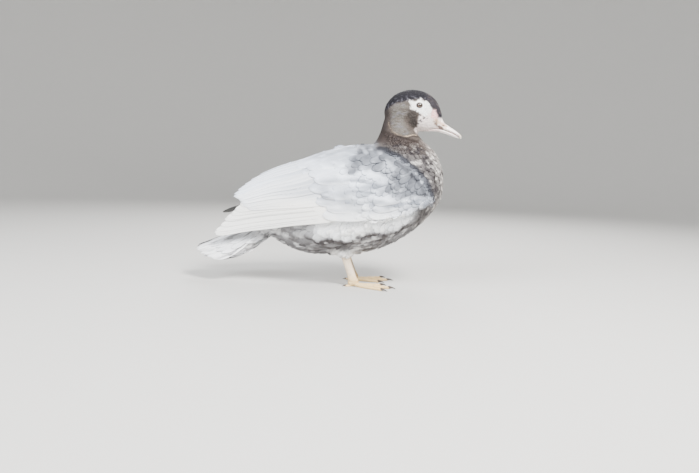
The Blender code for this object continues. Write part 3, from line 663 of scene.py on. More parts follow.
def keepLargest(mesh):  # drops every body but the one with the most faces
    work = bmesh.new()
    work.from_mesh(mesh)
    bodies, seen = [], set()
    for start in work.faces:
        if start.index in seen:
            continue
        body, queue = [], [start]
        seen.add(start.index)
        while queue:
            here = queue.pop()
            body.append(here)
            for edge in here.edges:
                for other in edge.link_faces:
                    if other.index not in seen:
                        seen.add(other.index)
                        queue.append(other)
        bodies.append(body)
    bodies.sort(key=len)
    bmesh.ops.delete(work, geom=[f for body in bodies[:-1] for f in body], context="FACES")
    work.to_mesh(mesh)
    work.free()


def makeSkin(finish):
    parts = []
    for node in ("torso", "neck", "head", "thigh_left", "thigh_right"):
        copy = bpy.data.objects.new(node + "_flesh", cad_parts[node].data.copy())
        bpy.context.scene.collection.objects.link(copy)
        copy.data.materials.clear()
        parts.append(copy)
    for which in sides:
        x, upper, out = coreTop(which)
        deep = np.interp(x, *np.array(skinSizes["deep"]).T)
        parts.append(coreObject("core_" + which, upper, upper - out * deep[..., None], finish))
    rows, across = skinSizes["tailGrid"]
    s, u = np.meshgrid(np.linspace(0, tail["core"], rows), np.linspace(-1, 1, across), indexing="ij")
    drop = np.array([0, 0, skinSizes["tailDrop"]])
    parts.append(coreObject("core_tail", tailFace(s, u) - drop, tailFace(s, u, 1.0) + 2 * drop, finish))
    skin = joined("skin", parts)
    remesh = skin.modifiers.new("fuse", "REMESH")
    remesh.mode = "VOXEL"
    remesh.voxel_size = skinSizes["voxel"]
    ease = skin.modifiers.new("ease", "SMOOTH")
    ease.factor, ease.iterations = 0.5, skinSizes["ease"]
    graph = bpy.context.evaluated_depsgraph_get()
    mesh = bpy.data.meshes.new_from_object(skin.evaluated_get(graph), depsgraph=graph)
    skin.modifiers.clear()
    skin.data = mesh
    mesh.materials.clear()
    mesh.materials.append(finish)
    keepLargest(mesh)
    # under the coat's depth, where the wings' own cores aren't the surface
    points, out = places(mesh), normals(mesh)
    mesh.vertices.foreach_set("co", (points - out * skinDepth(points)[:, None]).ravel())
    mesh.polygons.foreach_set("use_smooth", np.ones(len(mesh.polygons), bool))
    mesh.update()
    finished(skin, markings(places(mesh)) * skinSizes["darker"], "plumage",
             "torso", "neck", "head", "thigh_left", "thigh_right")
    print("skin", len(mesh.polygons), "faces")
    return skin


def wingTree(which):
    _, upper, _ = coreTop(which)
    rows, across = skinSizes["grid"]
    faces = [f for f in shellFaces(rows, across) if max(f) < rows * across]
    return BVHTree.FromPolygons(upper.reshape(-1, 3).tolist(), faces)


def toWing(points):  # distance to the face under the wings, up to 0.02, or 1
    found = np.full(len(points), 1.0)
    for which, side in sides.items():
        for n in np.nonzero(np.sign(points[:, 1]) == side)[0]:
            hit = wingTrees[which].find_nearest(points[n], 0.02)
            if hit[3] is not None:
                found[n] = hit[3]
    return found


def skinDepth(points):  # how far the skin lies inside the flesh
    x, y, z = points.T
    depth = np.full(len(points), skinSizes["inset"])
    head = smooth(0.262, 0.285, z) * smooth(0.08, 0.10, x)
    depth += (skinSizes["headInset"] - depth) * head
    depth *= smooth(0.0012, 0.0030, toWing(points))
    depth *= 1 - smooth(0.068, 0.056, z) * (np.abs(x - 0.04) < 0.03)
    depth *= 1 - smooth(-0.12, -0.15, x)
    depth += skinSizes["back"] * smooth(0.240, 0.253, z) * smooth(0.10, 0.085, x) * smooth(-0.04, 0.03, x)
    socket = smooth(0.0092, 0.0062, fromEye(x, z)) * (z > 0.30) * (np.abs(y) > 0.012)
    depth += skinSizes["socket"] * socket
    return depth


def skinLook(w):
    down = w.noise(900.0, 4.0)
    return {"Base Color": down.between(0.3, 0.7).mixed(w.tint(), (0.5, 0.48, 0.47, 1), "SOFT_LIGHT"),
            "Roughness": 0.85, "Normal": w.bump(down, 0.25, 0.0006), "Specular IOR Level": 0.2}


wingTrees = {which: wingTree(which) for which in sides}
skin = makeSkin(material("skin", skinLook))
skinTree = BVHTree.FromObject(skin, bpy.context.evaluated_depsgraph_get())
print("skin made")


# Feathers: each one a closed, thin, cambered vane
def featherLook(roughness, barbs):
    def look(w):
        vane = {"Vector": w.node("ShaderNodeAttribute", {"attribute_name": "vane"}, out=1)}
        across, along, draw = (w.node("ShaderNodeSeparateXYZ", None, vane, out=k) for k in range(3))
        slant = across.maths("ABSOLUTE", across) * -0.55 + along
        where = w.node("ShaderNodeCombineXYZ", None,
                       {"X": across * 1.2, "Y": slant * barbs, "Z": draw * 37.0})
        strand = w.noise(1.0, 3.0, where)
        return {"Base Color": w.tinted(strand.between(0.34, 0.66), (0.86, 0.86, 0.87), (1.07, 1.07, 1.06)),
                "Roughness": strand * 0.12 + roughness, "Normal": w.bump(strand, 0.30, 0.0004),
                "Specular IOR Level": 0.2}
    return look


def vaneFaces(rows, across):  # corners and sizes of one feather's faces
    ring = 2 * across - 2
    faces = [(i * ring + j, i * ring + (j + 1) % ring, (i + 1) * ring + (j + 1) % ring, (i + 1) * ring + j)
             for i in range(rows - 1) for j in range(ring)]
    for base, turn in ((0, 1), ((rows - 1) * ring, -1)):
        for i in range(across - 1):
            face = dict.fromkeys([i, i + 1, (ring - i - 1) % ring, (ring - i) % ring])
            faces.append(tuple(base + k for k in list(face)[::-turn]))
    return faces


def vaneTriangles(rows, across):
    return sum(len(f) - 2 for f in vaneFaces(rows, across))


def vaneObject(name, top, out, thick, finish, colours, draws, bake):
    # top, out and colours are count x rows x across x 3; bake is count x rows x across x 2
    count, rows, across = top.shape[:3]

    def both(values, under=None):  # the upper side's values, then the under side's from edge to edge
        under = values if under is None else under
        return np.concatenate([values, under[:, :, 1:-1][:, :, ::-1]], 2)

    ring = both(top, top - out * thick)
    across01 = np.broadcast_to(np.linspace(-1, 1, across), (count, rows, across))
    along01 = np.broadcast_to(np.linspace(0, 1, rows)[None, :, None], (count, rows, across))
    drawn = np.broadcast_to(draws[:, None, None], (count, rows, across))
    vane = both(np.stack([across01, along01, drawn], -1))
    faces = vaneFaces(rows, across)
    one = ring[0].reshape(-1, 3)
    one = one - one[0]
    volume = sum(np.dot(one[f[0]], np.cross(one[f[k]], one[f[k + 1]]))
                 for f in faces for k in range(1, len(f) - 1))
    if volume < 0:
        faces = [f[::-1] for f in faces]
    sizes = np.array([len(f) for f in faces])
    corners = np.concatenate(faces)
    each = rows * (2 * across - 2)
    allCorners = (corners[None] + np.arange(count)[:, None] * each).ravel()
    made = meshObject(name, ring.reshape(-1, 3), (allCorners, np.tile(sizes, count)), finish,
                      both(colours).reshape(-1, 3), vane.reshape(-1, 3), both(bake).reshape(-1, 2))
    print(name, count, "feathers,", count * vaneTriangles(rows, across), "triangles")
    return made


def featherOutline(s, base, blunt):  # half width along a feather: narrow root, full middle, round tip
    s = np.asarray(s, float)
    rise = base + (1 - base) * smooth(-0.15, 0.42, s)
    start = 1 - blunt
    end = np.clip((s - start) / blunt, 0, 1)
    return rise * np.sqrt(np.clip(1 - end ** 2.2, 0.012, 1))


# Body feathers
coat = {
    "zones": {  # spacing, length, half width, height of the tip, rows, points across
        "head": (0.0018, 0.0052, 0.00145, 0.0009, 5, 3),
        "neck": (0.0027, 0.0098, 0.0030, 0.0015, 7, 3),
        "breast": (0.0045, 0.0134, 0.0043, 0.0023, 8, 5),
        "body": (0.0076, 0.0260, 0.0074, 0.0028, 10, 5),
        "flank": (0.0078, 0.0280, 0.0088, 0.0041, 11, 5),
        "belly": (0.0050, 0.0175, 0.0042, 0.0033, 9, 5),
        "thigh": (0.0034, 0.0120, 0.0028, 0.0020, 7, 3),
        "rump": (0.0056, 0.0380, 0.0048, 0.0042, 12, 5),
        "shoulder": (0.0078, 0.0235, 0.0070, 0.0025, 11, 7),
        "mantle": (0.0098, 0.0305, 0.0088, 0.0023, 13, 7),
        "covert": (0.0136, 0.0460, 0.0114, 0.0024, 15, 7),
    },
    "thick": 0.00025,
    "turned": {"head": 0.09, "neck": 0.10, "breast": 0.18, "body": 0.15, "flank": 0.20, "belly": 0.26,
               "thigh": 0.10, "rump": 0.12, "shoulder": 0.16, "mantle": 0.17, "covert": 0.10},
    "varied": {"head": 0.14, "neck": 0.16, "breast": 0.26, "body": 0.08, "flank": 0.05, "belly": 0.26,
               "thigh": 0.08, "rump": 0.08, "shoulder": 0.10, "mantle": 0.12, "covert": 0.05},
    "raised": 0.30,  # how much single feathers differ
    "patch": 0.003,  # a tuft's share of the unwrap
    "tries": 5.5, "crowding": 0.82,  # places tried for each root, and how much closer than the spacing
    "most": 195000,  # triangles in one piece
}
zoneNames = list(coat["zones"])


def overWing(p):
    x, y, z = p.T
    low = wingEdge(x, lowerEdge)
    front = frontAt(z)
    return (z > low + 0.001) & (x < front) & (np.abs(y) > 0.013) & (z < 0.2655)


def zoneOf(p):
    x, y, z = p.T
    zone = np.full(len(p), zoneNames.index("body"))
    zone[z < 0.135] = zoneNames.index("flank")
    zone[(z < np.interp(x, *flankLine.T)) & (x > -0.09)] = zoneNames.index("belly")
    zone[np.abs(y) < 0.5 * (0.14 - z)] = zoneNames.index("belly")
    front = frontAt(z)
    breast = ((x > front - 0.004) & (z > 0.12)) | ((z < 0.148) & (x > 0.150))
    zone[breast] = zoneNames.index("breast")
    wing = overWing(p)
    zone[wing & (x > 0.125)] = zoneNames.index("shoulder")
    zone[wing & (x <= 0.125)] = zoneNames.index("mantle")
    zone[wing & (x <= 0.040)] = zoneNames.index("covert")
    zone[(z > 0.238 + 0.28 * (x - 0.14)) & (x > 0.072 + 0.2 * (0.27 - z)) & ~wing] = zoneNames.index("neck")
    upper = wingEdge(x, upperEdge)
    onTop = (z > upper - 0.006 - 0.007 * smooth(0.03, 0.06, x)) & (x > -0.04) & (x < 0.095)
    zone[onTop] = zoneNames.index("neck")
    zone[(z > 0.272 - 0.30 * (x - 0.14)) & (x > 0.088)] = zoneNames.index("head")
    zone[(z < 0.066) & (np.abs(x - 0.045) < 0.03)] = zoneNames.index("thigh")
    zone[(x < -0.098) & (z < 0.125)] = zoneNames.index("rump")
    return zone


def lieAt(p):
    x, y, z = p.T
    lie = np.column_stack([-np.ones(len(p)), 0 * x, -0.22 - 0.25 * smooth(0.2, 0.12, z)])
    lie[:, 1] = np.sign(y) * 0.10 * smooth(0.20, 0.24, z)
    slope = 0.28 + 0.34 * smooth(0.0, 0.09, x) * smooth(0.15, 0.19, z) - 0.16 * smooth(0.15, 0.12, z)
    slope += 0.45 * smooth(0.105, 0.125, x) * smooth(0.155, 0.135, z)
    lie = np.where(overWing(p)[:, None], np.column_stack([-np.ones(len(p)), 0 * x, -slope]), lie)
    low = wingEdge(x, lowerEdge)
    beside = (smooth(0.045, 0.010, x) * smooth(0.030, 0.010, np.abs(low - z)) * (np.abs(y) > 0.02))[:, None]
    lie += (np.array([-1, 0, -0.42]) - lie) * beside
    bodyUnder = smooth(0.10, 0.06, z)[:, None] * (1 - beside)
    lie += (np.array([-1, 0, 0.0]) - lie) * bodyUnder
    ahead = x > frontAt(z) - 0.004
    front = (smooth(0.150, 0.190, x) * smooth(0.275, 0.235, z) * ahead)[:, None]
    lie += (np.array([-0.30, 0, -1.0]) - lie) * front * smooth(0.10, 0.15, z)[:, None]
    neck = (smooth(0.228, 0.255, z) * smooth(0.066, 0.092, x + 0.2 * (z - 0.25)) * ahead)[:, None]
    lie += (np.array([-0.25, 0, -1.0]) - lie) * neck
    head = (smooth(0.268, 0.292, z) * smooth(0.085, 0.11, x))[:, None]
    back = np.column_stack([-np.ones(len(p)), 0 * x, -0.25 - 1.2 * smooth(0.13, 0.10, x)])
    lie += (back - lie) * head
    # round the eye
    away = np.column_stack([x, z]) - eyeMiddle
    reach = np.linalg.norm(away, axis=1)
    ray = away / np.maximum(reach, 1e-6)[:, None]
    inwards = np.maximum(-(lie[:, [0, 2]] * ray).sum(1), 0)
    push = 1.5 * inwards * smooth(0.017, 0.008, reach) * (z > 0.30) * (np.abs(y) > 0.010)
    lie[:, 0] += push * ray[:, 0]
    lie[:, 2] += push * ray[:, 1]
    toTail = (smooth(-0.085, -0.105, x) * smooth(0.145, 0.125, z))[:, None]
    lie += (np.array([-0.91, 0, -0.41]) - lie) * toTail
    leg = ((z < 0.075) & (np.abs(x - 0.045) < 0.03))[:, None]
    return np.where(leg, np.array([-0.25, 0, -1.0]), lie)


def rootsOn(obj, wanted, seed):  # places spread evenly over the skin, each zone with its own spacing
    mesh = obj.data
    mesh.calc_loop_triangles()
    corner = np.empty(len(mesh.loop_triangles) * 3, np.int32)
    mesh.loop_triangles.foreach_get("vertices", corner)
    loops = np.empty(len(mesh.loop_triangles) * 3, np.int32)
    mesh.loop_triangles.foreach_get("loops", loops)
    corner, loops = corner.reshape(-1, 3), loops.reshape(-1, 3)
    uv = np.empty(len(mesh.loops) * 2, np.float32)
    mesh.uv_layers["OFBake"].data.foreach_get("uv", uv)
    uv = uv.reshape(-1, 2)
    points, out = places(mesh), normals(mesh)
    a, b, c = (points[corner[:, k]] for k in range(3))
    area = np.linalg.norm(np.cross(b - a, c - a), axis=1) / 2
    middle = (a + b + c) / 3
    zone = zoneOf(middle)
    spacing = np.array([coat["zones"][n][0] for n in zoneNames])
    keep = wanted(middle)
    weight = np.where(keep, area / spacing[zone] ** 2, 0)
    draw = np.random.default_rng(seed)
    total = int(weight.sum() * coat["tries"])
    pick = draw.choice(len(weight), total, p=weight / weight.sum())
    u, v = draw.random(total), draw.random(total)
    flip = u + v > 1
    u, v = np.where(flip, 1 - u, u), np.where(flip, 1 - v, v)
    bary = np.column_stack([1 - u - v, u, v])
    spot = (points[corner[pick]] * bary[..., None]).sum(1)
    normal = unit((out[corner[pick]] * bary[..., None]).sum(1))
    patch = (uv[loops[pick]] * bary[..., None]).sum(1)
    where = zoneOf(spot)
    reach = spacing[where] * coat["crowding"]
    tree = KDTree(total)
    for n, at in enumerate(spot.tolist()):
        tree.insert(at, n)
    tree.balance()
    free, chosen = np.ones(total, bool), []
    for n in range(total):
        if free[n]:
            chosen.append(n)
            for _, m, gap in tree.find_range(spot[n], reach[n]):
                if gap < reach[m]:
                    free[m] = False
    return spot[chosen], normal[chosen], patch[chosen], where[chosen]


def tangent(direction, normal):
    return unit(direction - (direction * normal).sum(-1, keepdims=True) * normal)


def edgeShade(p, zone, draws):  # how a feather's fringe differs from its middle, by the bird's parts
    flat = p[:, [0, 2]]
    mantle = mantleAt(p, flat)
    shade = 0.97 - 0.20 * mantle
    shade = np.where(zone == zoneNames.index("body"), 0.92 - 0.16 * mantle, shade)
    for name, value in (("breast", 1.30), ("belly", 1.20), ("neck", 1.10), ("head", 0.96), ("flank", 0.99),
                        ("rump", 1.02)):
        shade = np.where(zone == zoneNames.index(name), value, shade)
    return 1 + (shade - 1) * (0.25 + 1.25 * draws)


def lastRow(z):  # where the small feathers of the wing end
    return np.interp(z, (0.115, 0.140, 0.160, 0.200, 0.250), (0.092, 0.074, 0.022, -0.006, -0.036))


def makeCoat(finish, wanted, seed):
    spot, normal, patch, zone = rootsOn(skin, wanted, seed)
    draw = np.random.default_rng(seed + 1)
    made = []
    for number, name in enumerate(zoneNames):
        mine = zone == number
        if not mine.any():
            continue
        _, length, half, height, rows, across = coat["zones"][name]
        at, out, uv = spot[mine], normal[mine], patch[mine]
        count = len(at)
        length = length * draw.uniform(0.88, 1.14, count) * shorter(at)
        half = half * draw.uniform(0.9, 1.1, count) * (0.4 + 0.6 * shorter(at))
        tip = height * (1 + coat["raised"] * draw.uniform(-1, 1, count)) * (0.4 + 0.6 * shorter(at))
        ridge = smooth(0.034, 0.026, np.abs(at[:, 1])) * smooth(0.185, 0.2, at[:, 2]) * (name == "body")
        low = wingEdge(at[:, 0], lowerEdge)
        close = smooth(0.016, 0.004, np.abs(low - at[:, 2])) * smooth(0.05, 0.02, at[:, 0]) * (at[:, 0] > -0.1)
        tip = (tip + 0.0010 * ridge) * (1 - 0.55 * close * (name in ("flank", "belly", "body")))
        if name == "covert":
            length = np.minimum(length, at[:, 0] - lastRow(at[:, 2]) + 0.024)
        top = smooth(0.236, 0.250, at[:, 2]) * smooth(0.125, 0.10, at[:, 0])
        tip *= 1 - 0.68 * top
        length = length * (1 - 0.42 * top * smooth(0.0, 0.028, at[:, 0] + 0.03 * (name == "body")))
        turn = draw.normal(0, coat["turned"][name], count) * (1 - 0.7 * top)
        drawn = draw.random(count)
        s = 1 - (1 - np.linspace(0, 1, rows)) ** 1.25
        centre, outs, ways = [at], [out], []
        way = tangent(lieAt(at), out)
        side = np.cross(out, way)
        way = unit(way * np.cos(turn)[:, None] + side * np.sin(turn)[:, None])
        ways.append(way)
        for k in range(1, rows):
            here = centre[-1] + way * (length * (s[k] - s[k - 1]))[:, None]
            found = [skinTree.find_nearest(q) for q in here.tolist()]
            here = np.array([f[0] for f in found])
            new = unit(0.5 * outs[-1] + np.array([f[1] for f in found]))
            bend = tangent(lieAt(here), new)
            way = unit(tangent(way, new) + 0.22 * bend)
            centre.append(here)
            outs.append(new)
            ways.append(way)
        centre, outs, ways = (np.stack(v, 1) for v in (centre, outs, ways))
        c = np.linspace(-1, 1, across)
        if across == 5:
            c = np.array([-1, -0.80, 0, 0.80, 1])
        wide = half[:, None, None] * featherOutline(s, 0.55, 0.5)[None, :, None] * c
        lift = tip[:, None] * (0.06 + 0.94 * s ** 1.15) - 0.0004
        sideways = np.cross(outs, ways)
        camber = 0.20 * np.abs(wide) * c ** 2
        top = (centre[:, :, None] + sideways[:, :, None] * wide[..., None]
               + outs[:, :, None] * (lift[:, :, None] - camber)[..., None])
        normalTop = np.broadcast_to(outs[:, :, None], top.shape)
        spotted = top[:, rows * 3 // 4, across // 2]
        tone = markings(spotted) * (1 + coat["varied"][name] * draw.uniform(-1, 1, count))[:, None]
        exact = markings(top.reshape(-1, 3)).reshape(top.shape)
        share = {"head": 0.35, "neck": 0.35, "shoulder": 0.70, "mantle": 0.70}.get(name, 0.55)
        colours = exact * share + tone[:, None, None] * (1 - share)
        fringe = np.clip(np.maximum(smooth(0.55, 1.0, np.abs(c))[None, :] * smooth(0.3, 0.7, s)[:, None],
                                    smooth(0.80, 1.0, s)[:, None]), 0, 1)
        shade = 1 + (edgeShade(spotted, zone[mine], draw.random(count)) - 1)[:, None, None] * fringe[None]
        colours = colours * shade[..., None]
        bake = uv[:, None, None] + coat["patch"] * np.stack(
            [np.broadcast_to(c[None, :] * 0.5, (rows, across)),
             np.broadcast_to((s - 0.5)[:, None], (rows, across))], -1)[None]
        limit = coat["most"] // vaneTriangles(rows, across)
        for first in range(0, count, limit):
            some = slice(first, first + limit)
            label = f"{name}_feathers" + (f"_{first // limit + 1}" if count > limit else "")
            made.append(vaneObject(label, top[some], normalTop[some], coat["thick"], finish,
                                   colours[some], drawn[some], bake[some]))
    return made


def shorter(p):  # feathers shrink towards the bill and round the eyes
    x, y, z = p.T
    bill = smooth(0.203, 0.178, x)
    near = fromEye(x, z, 1.1)
    eye = np.where(np.abs(y) > 0.008, smooth(0.0062, 0.0120, near), 1.0)
    head = smooth(0.27, 0.285, z)
    return 1 + (np.minimum(0.35 + 0.65 * bill, 0.45 + 0.55 * eye) - 1) * head


def feathered(p):
    x, y, z = p.T
    wing = toWing(p) < 0.0012
    front = x > lastRow(z)
    near = fromEye(x, z, 1.1)
    eye = (near < 0.0060 + 0.0014 * smooth(-0.002, 0.003, x - eyeMiddle[0])) & (np.abs(y) > 0.010) & (z > 0.3)
    bill = (x > 0.1905) & (z < 0.3045 + 0.2 * (x - 0.2)) & (z > 0.27)
    bill |= (x > 0.2085) & (z > 0.27)
    # under the long feathers of the folded wings
    upper, lower = (wingEdge(x, k) for k in (upperEdge, lowerEdge))
    lifted = wingLift["left"] * (y > 0) * towardsEnd(x)
    under = lower + lifted - 0.001 - 0.006 * smooth(0.0, -0.05, x)
    hidden = (x < 0.03) & (z < upper - 0.003) & (z > under) & (np.abs(y) > 0.012) & ~wing & (x > -0.14)
    return ~(wing & ~front) & ~eye & ~bill & ~hidden & (z > 0.0555)


coatSlots = {"head": "head_feathers", "neck": "neck_feathers", "shoulder": "wing_feathers",
             "mantle": "wing_feathers", "covert": "wing_feathers"}
bodyLook = material("body_feathers", featherLook(0.62, 14.0))
for piece in makeCoat(bodyLook, feathered, 11):
    zone = piece.name.split("_")[0]
    place(piece, coatSlots.get(zone, "plumage"))
print("coat made")

# Long wing feathers, in tiers from the lowest one up
wing = {
    # count, first and last root, tips as x and t, tip height, blunt end, spread, camber
    "tiers": {
        "primaries": (9, ((0.030, 0.690), (0.062, 0.955)),
                      ((-0.150, 0.56), (-0.162, 0.62), (-0.172, 0.69), (-0.181, 0.76), (-0.190, 0.84),
                       (-0.199, 0.92), (-0.197, 0.975)), (0.0050, 0.0040), 0.13, 1.5, 0.08),
        "secondaries": (8, ((0.006, 0.400), (0.036, 0.780)),
                        ((-0.160, 0.39), (-0.154, 0.45), (-0.149, 0.52), (-0.143, 0.60), (-0.136, 0.66)),
                        (0.0058, 0.0050), 0.15, 1.4, 0.08),
        "tertials": (7, ((-0.016, 0.040), (0.002, 0.440)),
                     ((-0.122, 0.04), (-0.138, 0.12), (-0.152, 0.20), (-0.163, 0.275), (-0.165, 0.355)),
                     (0.0060, 0.0058), 0.22, 1.2, 0.08),
        "greater": (12, ((0.052, 0.060), (0.084, 0.950)), ((-0.064, 0.060), (-0.036, 0.30), (-0.014, 0.60),
                                                         (0.006, 0.930)), (0.0029, 0.0028), 0.34, 1.0, 0.10),
        "carpal": (3, ((0.150, 0.790), (0.138, 0.930)), ((0.086, 0.800), (0.072, 0.935)),
                   (0.0036, 0.0034), 0.42, 0.85, 0.10),
    },
    # the far wing's long feathers end higher and stand out behind the near one's notch
    "leftTips": ((-0.150, 0.56), (-0.158, 0.65), (-0.168, 0.72), (-0.207, 0.790), (-0.172, 0.83), (-0.166, 0.89),
                 (-0.160, 0.975)),
    "rows": 22, "across": 9, "coverRows": 14, "coverAcross": 7,
    "thick": 0.00035,
    "lean": 0.0005,  # how far each feather's lower edge lies over the next one
    "tones": {
        "flight": (236, 241, 248), "cream": (252, 251, 246), "tertial": (226, 234, 246),
        # dark is painted shade on the far wing's primary tips; line is painted shade where feathers overlap
        "fringe": (253, 253, 253), "shaft": (196, 198, 204), "line": (132, 137, 148), "dark": (12, 11, 11),
        "haze": (134, 140, 151),
    },
}


def tierColours(tier, top, c, s, which, drawn):
    tone = linear(wing["tones"])
    shape = top.shape
    x, z = top[..., 0], top[..., 2]
    flight = tier in ("primaries", "secondaries", "tertials")
    if flight:
        base = np.broadcast_to(tone["tertial" if tier == "tertials" else "flight"], shape).copy()
        cream = smooth(-0.17, -0.03, x) * smooth(0.170, 0.146, z) * (tier != "tertials")
        cream = np.maximum(cream, (tier == "primaries") * 0.9)
        base += (tone["cream"] - base) * cream[..., None]
        haze = smooth(-0.135, -0.02, x) * smooth(0.150, 0.165, z) * (1 - cream)
        base += (tone["haze"] - base) * (haze * (0.30 + 0.35 * drawn)[:, None, None])[..., None]
    else:
        base = markings(top.reshape(-1, 3)).reshape(shape)
    base = base * (1 + 0.045 * (2 * drawn - 1))[:, None, None, None]
    lower = np.clip(c, 0, 1)[None, None] * np.ones_like(x)
    along = smooth(0.05, 0.30, s)[None, :, None]
    tips = smooth(0.93, 1.0, s)[None, :, None] * np.ones_like(x)
    fringe = 0.35 * smooth(0.45, 0.7, lower) * smooth(0.97, 0.8, lower) * along
    base += (tone["fringe"] - base) * fringe[..., None]
    # painted shade: a grey line along each feather's lower edge, where it lies over the next one, and across the
    # tips of all but the primaries
    strength = (0.04 + 0.80 * drawn ** 2.2)[:, None, None] * (0.9 if flight else 0.35)
    base += (tone["line"] - base) * (strength * smooth(0.86, 0.99, lower) * along)[..., None]
    base += (tone["line"] - base) * (0.5 * strength * tips * (tier != "primaries"))[..., None]
    shaft = smooth(0.10, 0.02, np.abs(c))[None, None] * along * np.ones_like(x)
    base += (tone["shaft"] - base) * (0.12 * shaft)[..., None]
    # painted shade: three of the far wing's primaries nearly black towards their tips
    if which == "left" and tier == "primaries":
        shadedFeathers = np.isin(np.arange(len(top)), (3, 4, 5))[:, None, None]
        base += (tone["dark"] - base) * (0.95 * shadedFeathers * smooth(-0.125, -0.148, x))[..., None]
    return base


def vaneGrid(rows, across):  # steps along and across a long feather, closer at its tip and edges
    return 1 - (1 - np.linspace(0, 1, rows)) ** 1.35, np.sin(np.linspace(-1, 1, across) * math.pi / 2)


def bakeGrid(s, c, count, number, columns, tiers):  # each feather's own patch, a row for each tier
    wide, tall = 1 / columns, 1 / tiers
    across01 = np.broadcast_to(c[None, :] * 0.5 + 0.5, (len(s), len(c)))
    along01 = np.broadcast_to(s[:, None], (len(s), len(c)))
    corner = np.stack([np.arange(count) * wide, np.full(count, number * tall)], -1)
    return corner[:, None, None] + np.stack([across01 * wide * 0.86, along01 * tall * 0.9], -1)


def spreadOut(stops, u):  # pairs of x and t through a few stops
    stops = np.array(stops)
    return np.column_stack([np.interp(u, np.linspace(0, 1, len(stops)), stops[:, k]) for k in (0, 1)])


def makeWing(which, finish):
    side = sides[which]
    draw = np.random.default_rng(40 + (side > 0))
    made = []

    def face(a, b):
        return wingFace(a, b, which)

    for number, (tier, values) in enumerate(wing["tiers"].items()):
        count, roots, tips, heights, blunt, spread, camber = values
        flight = tier in ("primaries", "secondaries", "tertials")
        rows = wing["rows"] if flight else wing["coverRows"]
        across = wing["across"] if flight else wing["coverAcross"]
        u = np.linspace(0, 1, count)
        u[1:-1] += draw.uniform(-0.34, 0.34, count - 2) / (count - 1) * flight
        if which == "left" and tier == "primaries":
            tips = wing["leftTips"]
        root, tip = spreadOut(roots, u), spreadOut(tips, u)
        tip = tip + np.column_stack([draw.uniform(-1, 1, count) * (0.0015 if flight else 0.0110),
                                     draw.uniform(-1, 1, count) * (0.010 if flight else 0.006)])
        pitch = (tips[-1][1] - tips[0][1]) / (count - 1)
        half = spread * pitch * draw.uniform(0.94, 1.06, count)
        s, c = vaneGrid(rows, across)
        wide = half[:, None, None] * featherOutline(s, 0.45, blunt)[None, :, None] * c
        a = root[:, 0, None, None] + (tip - root)[:, 0, None, None] * s[None, :, None] + 0 * wide
        bow = 0.012 * np.sin(s * math.pi)[None, :, None] if flight else 0.0
        b = root[:, 1, None, None] + (tip - root)[:, 1, None, None] * s[None, :, None] + wide + bow
        out = normalOn(face, a, b, side)
        high = (heights[0] + (heights[1] - heights[0]) * u)[:, None, None]
        rise = high * (0.04 + 0.96 * s ** 0.7)[None, :, None]
        rise = rise + wing["lean"] * (wide / pitch) - camber * 0.006 * c[None, None] ** 2
        ridge = 0.0002 * smooth(0.22, 0.0, np.abs(c))[None, None]
        level = face(a, b) - out * wingCoat(a, b)[..., None] + out * (rise + ridge)[..., None]
        drawn = draw.random(count)
        colours = tierColours(tier, level, c, s, which, drawn)
        bake = bakeGrid(s, c, count, number, 13, 5.2)
        made.append(vaneObject(f"{tier}_{which}", level, out, wing["thick"], finish, colours, drawn, bake))
    return joined("wing_feathers_" + which, made)


flightLook = material("flight_feathers", featherLook(0.55, 60.0))
for which in sides:
    place(makeWing(which, flightLook), "wing_feathers", "wing_" + which)
print("wings made")


# The tail: its long feathers under the coverts, the middle one on top
tailFeathers = {
    "side": 7,  # on each side of the middle one
    "rows": 20, "across": 9, "thick": 0.0004,
    "coverts": [  # under the tail or over it, count, root, tip, height, spread
        (0, 13, 0.02, 0.84, 0.0042, 1.15), (0, 11, -0.04, 0.60, 0.0052, 1.1), (0, 9, -0.10, 0.38, 0.0062, 1.1),
        (1, 15, 0.10, 0.93, 0.0032, 1.15), (1, 13, -0.02, 0.74, 0.0042, 1.1), (1, 11, -0.10, 0.52, 0.0052, 1.1),
    ],
    # dark is painted shade on the tail's far side
    "tones": {"vane": (242, 243, 246), "pale": (250, 250, 250), "streak": (106, 104, 108),
              "dark": (30, 28, 27), "cover": (222, 224, 229), "under": (242, 242, 244)},
}


def tailColours(top, c, s, drawn, kind):
    tone = linear(tailFeathers["tones"])
    base = np.broadcast_to(tone[kind], top.shape).copy()
    x, y = top[..., 0], top[..., 1]
    flat = top.reshape(-1, 3)
    along = np.column_stack([0.25 * (0.91 * flat[:, 0] + 0.41 * flat[:, 2]), 2.0 * flat[:, 1],
                             2.0 * (0.91 * flat[:, 2] - 0.41 * flat[:, 0])])
    base = base * (1 + 0.10 * (2 * drawn - 1))[:, None, None, None]
    streak = smooth(-0.1, 0.7, noiseAt(along, 0.0062, 21)).reshape(x.shape)
    base += (tone["streak"] - base) * ((0.50 + 0.40 * smooth(-0.22, -0.14, x)) * streak)[..., None]
    edge = smooth(0.75, 1.0, np.abs(c))[None, None] * np.ones_like(x)
    base += (tone["pale"] - base) * (0.55 * edge * (c[None, None] * np.sign(y) > 0))[..., None]
    base += (tone["streak"] - base) * (0.35 * edge * (c[None, None] * np.sign(y) < 0))[..., None]
    shaft = smooth(0.12, 0.03, np.abs(c))[None, None] * np.ones_like(x)
    base += (tone["pale"] - base) * (0.35 * shaft)[..., None]
    # painted shade: the long feathers just beyond the middle, on the far side, nearly black towards their ends
    if kind == "vane":
        far = smooth(0.0015, 0.004, y) * smooth(0.013, 0.010, y) * smooth(-0.15, -0.18, x)
        base += (tone["dark"] - base) * (0.95 * far)[..., None]
    return base


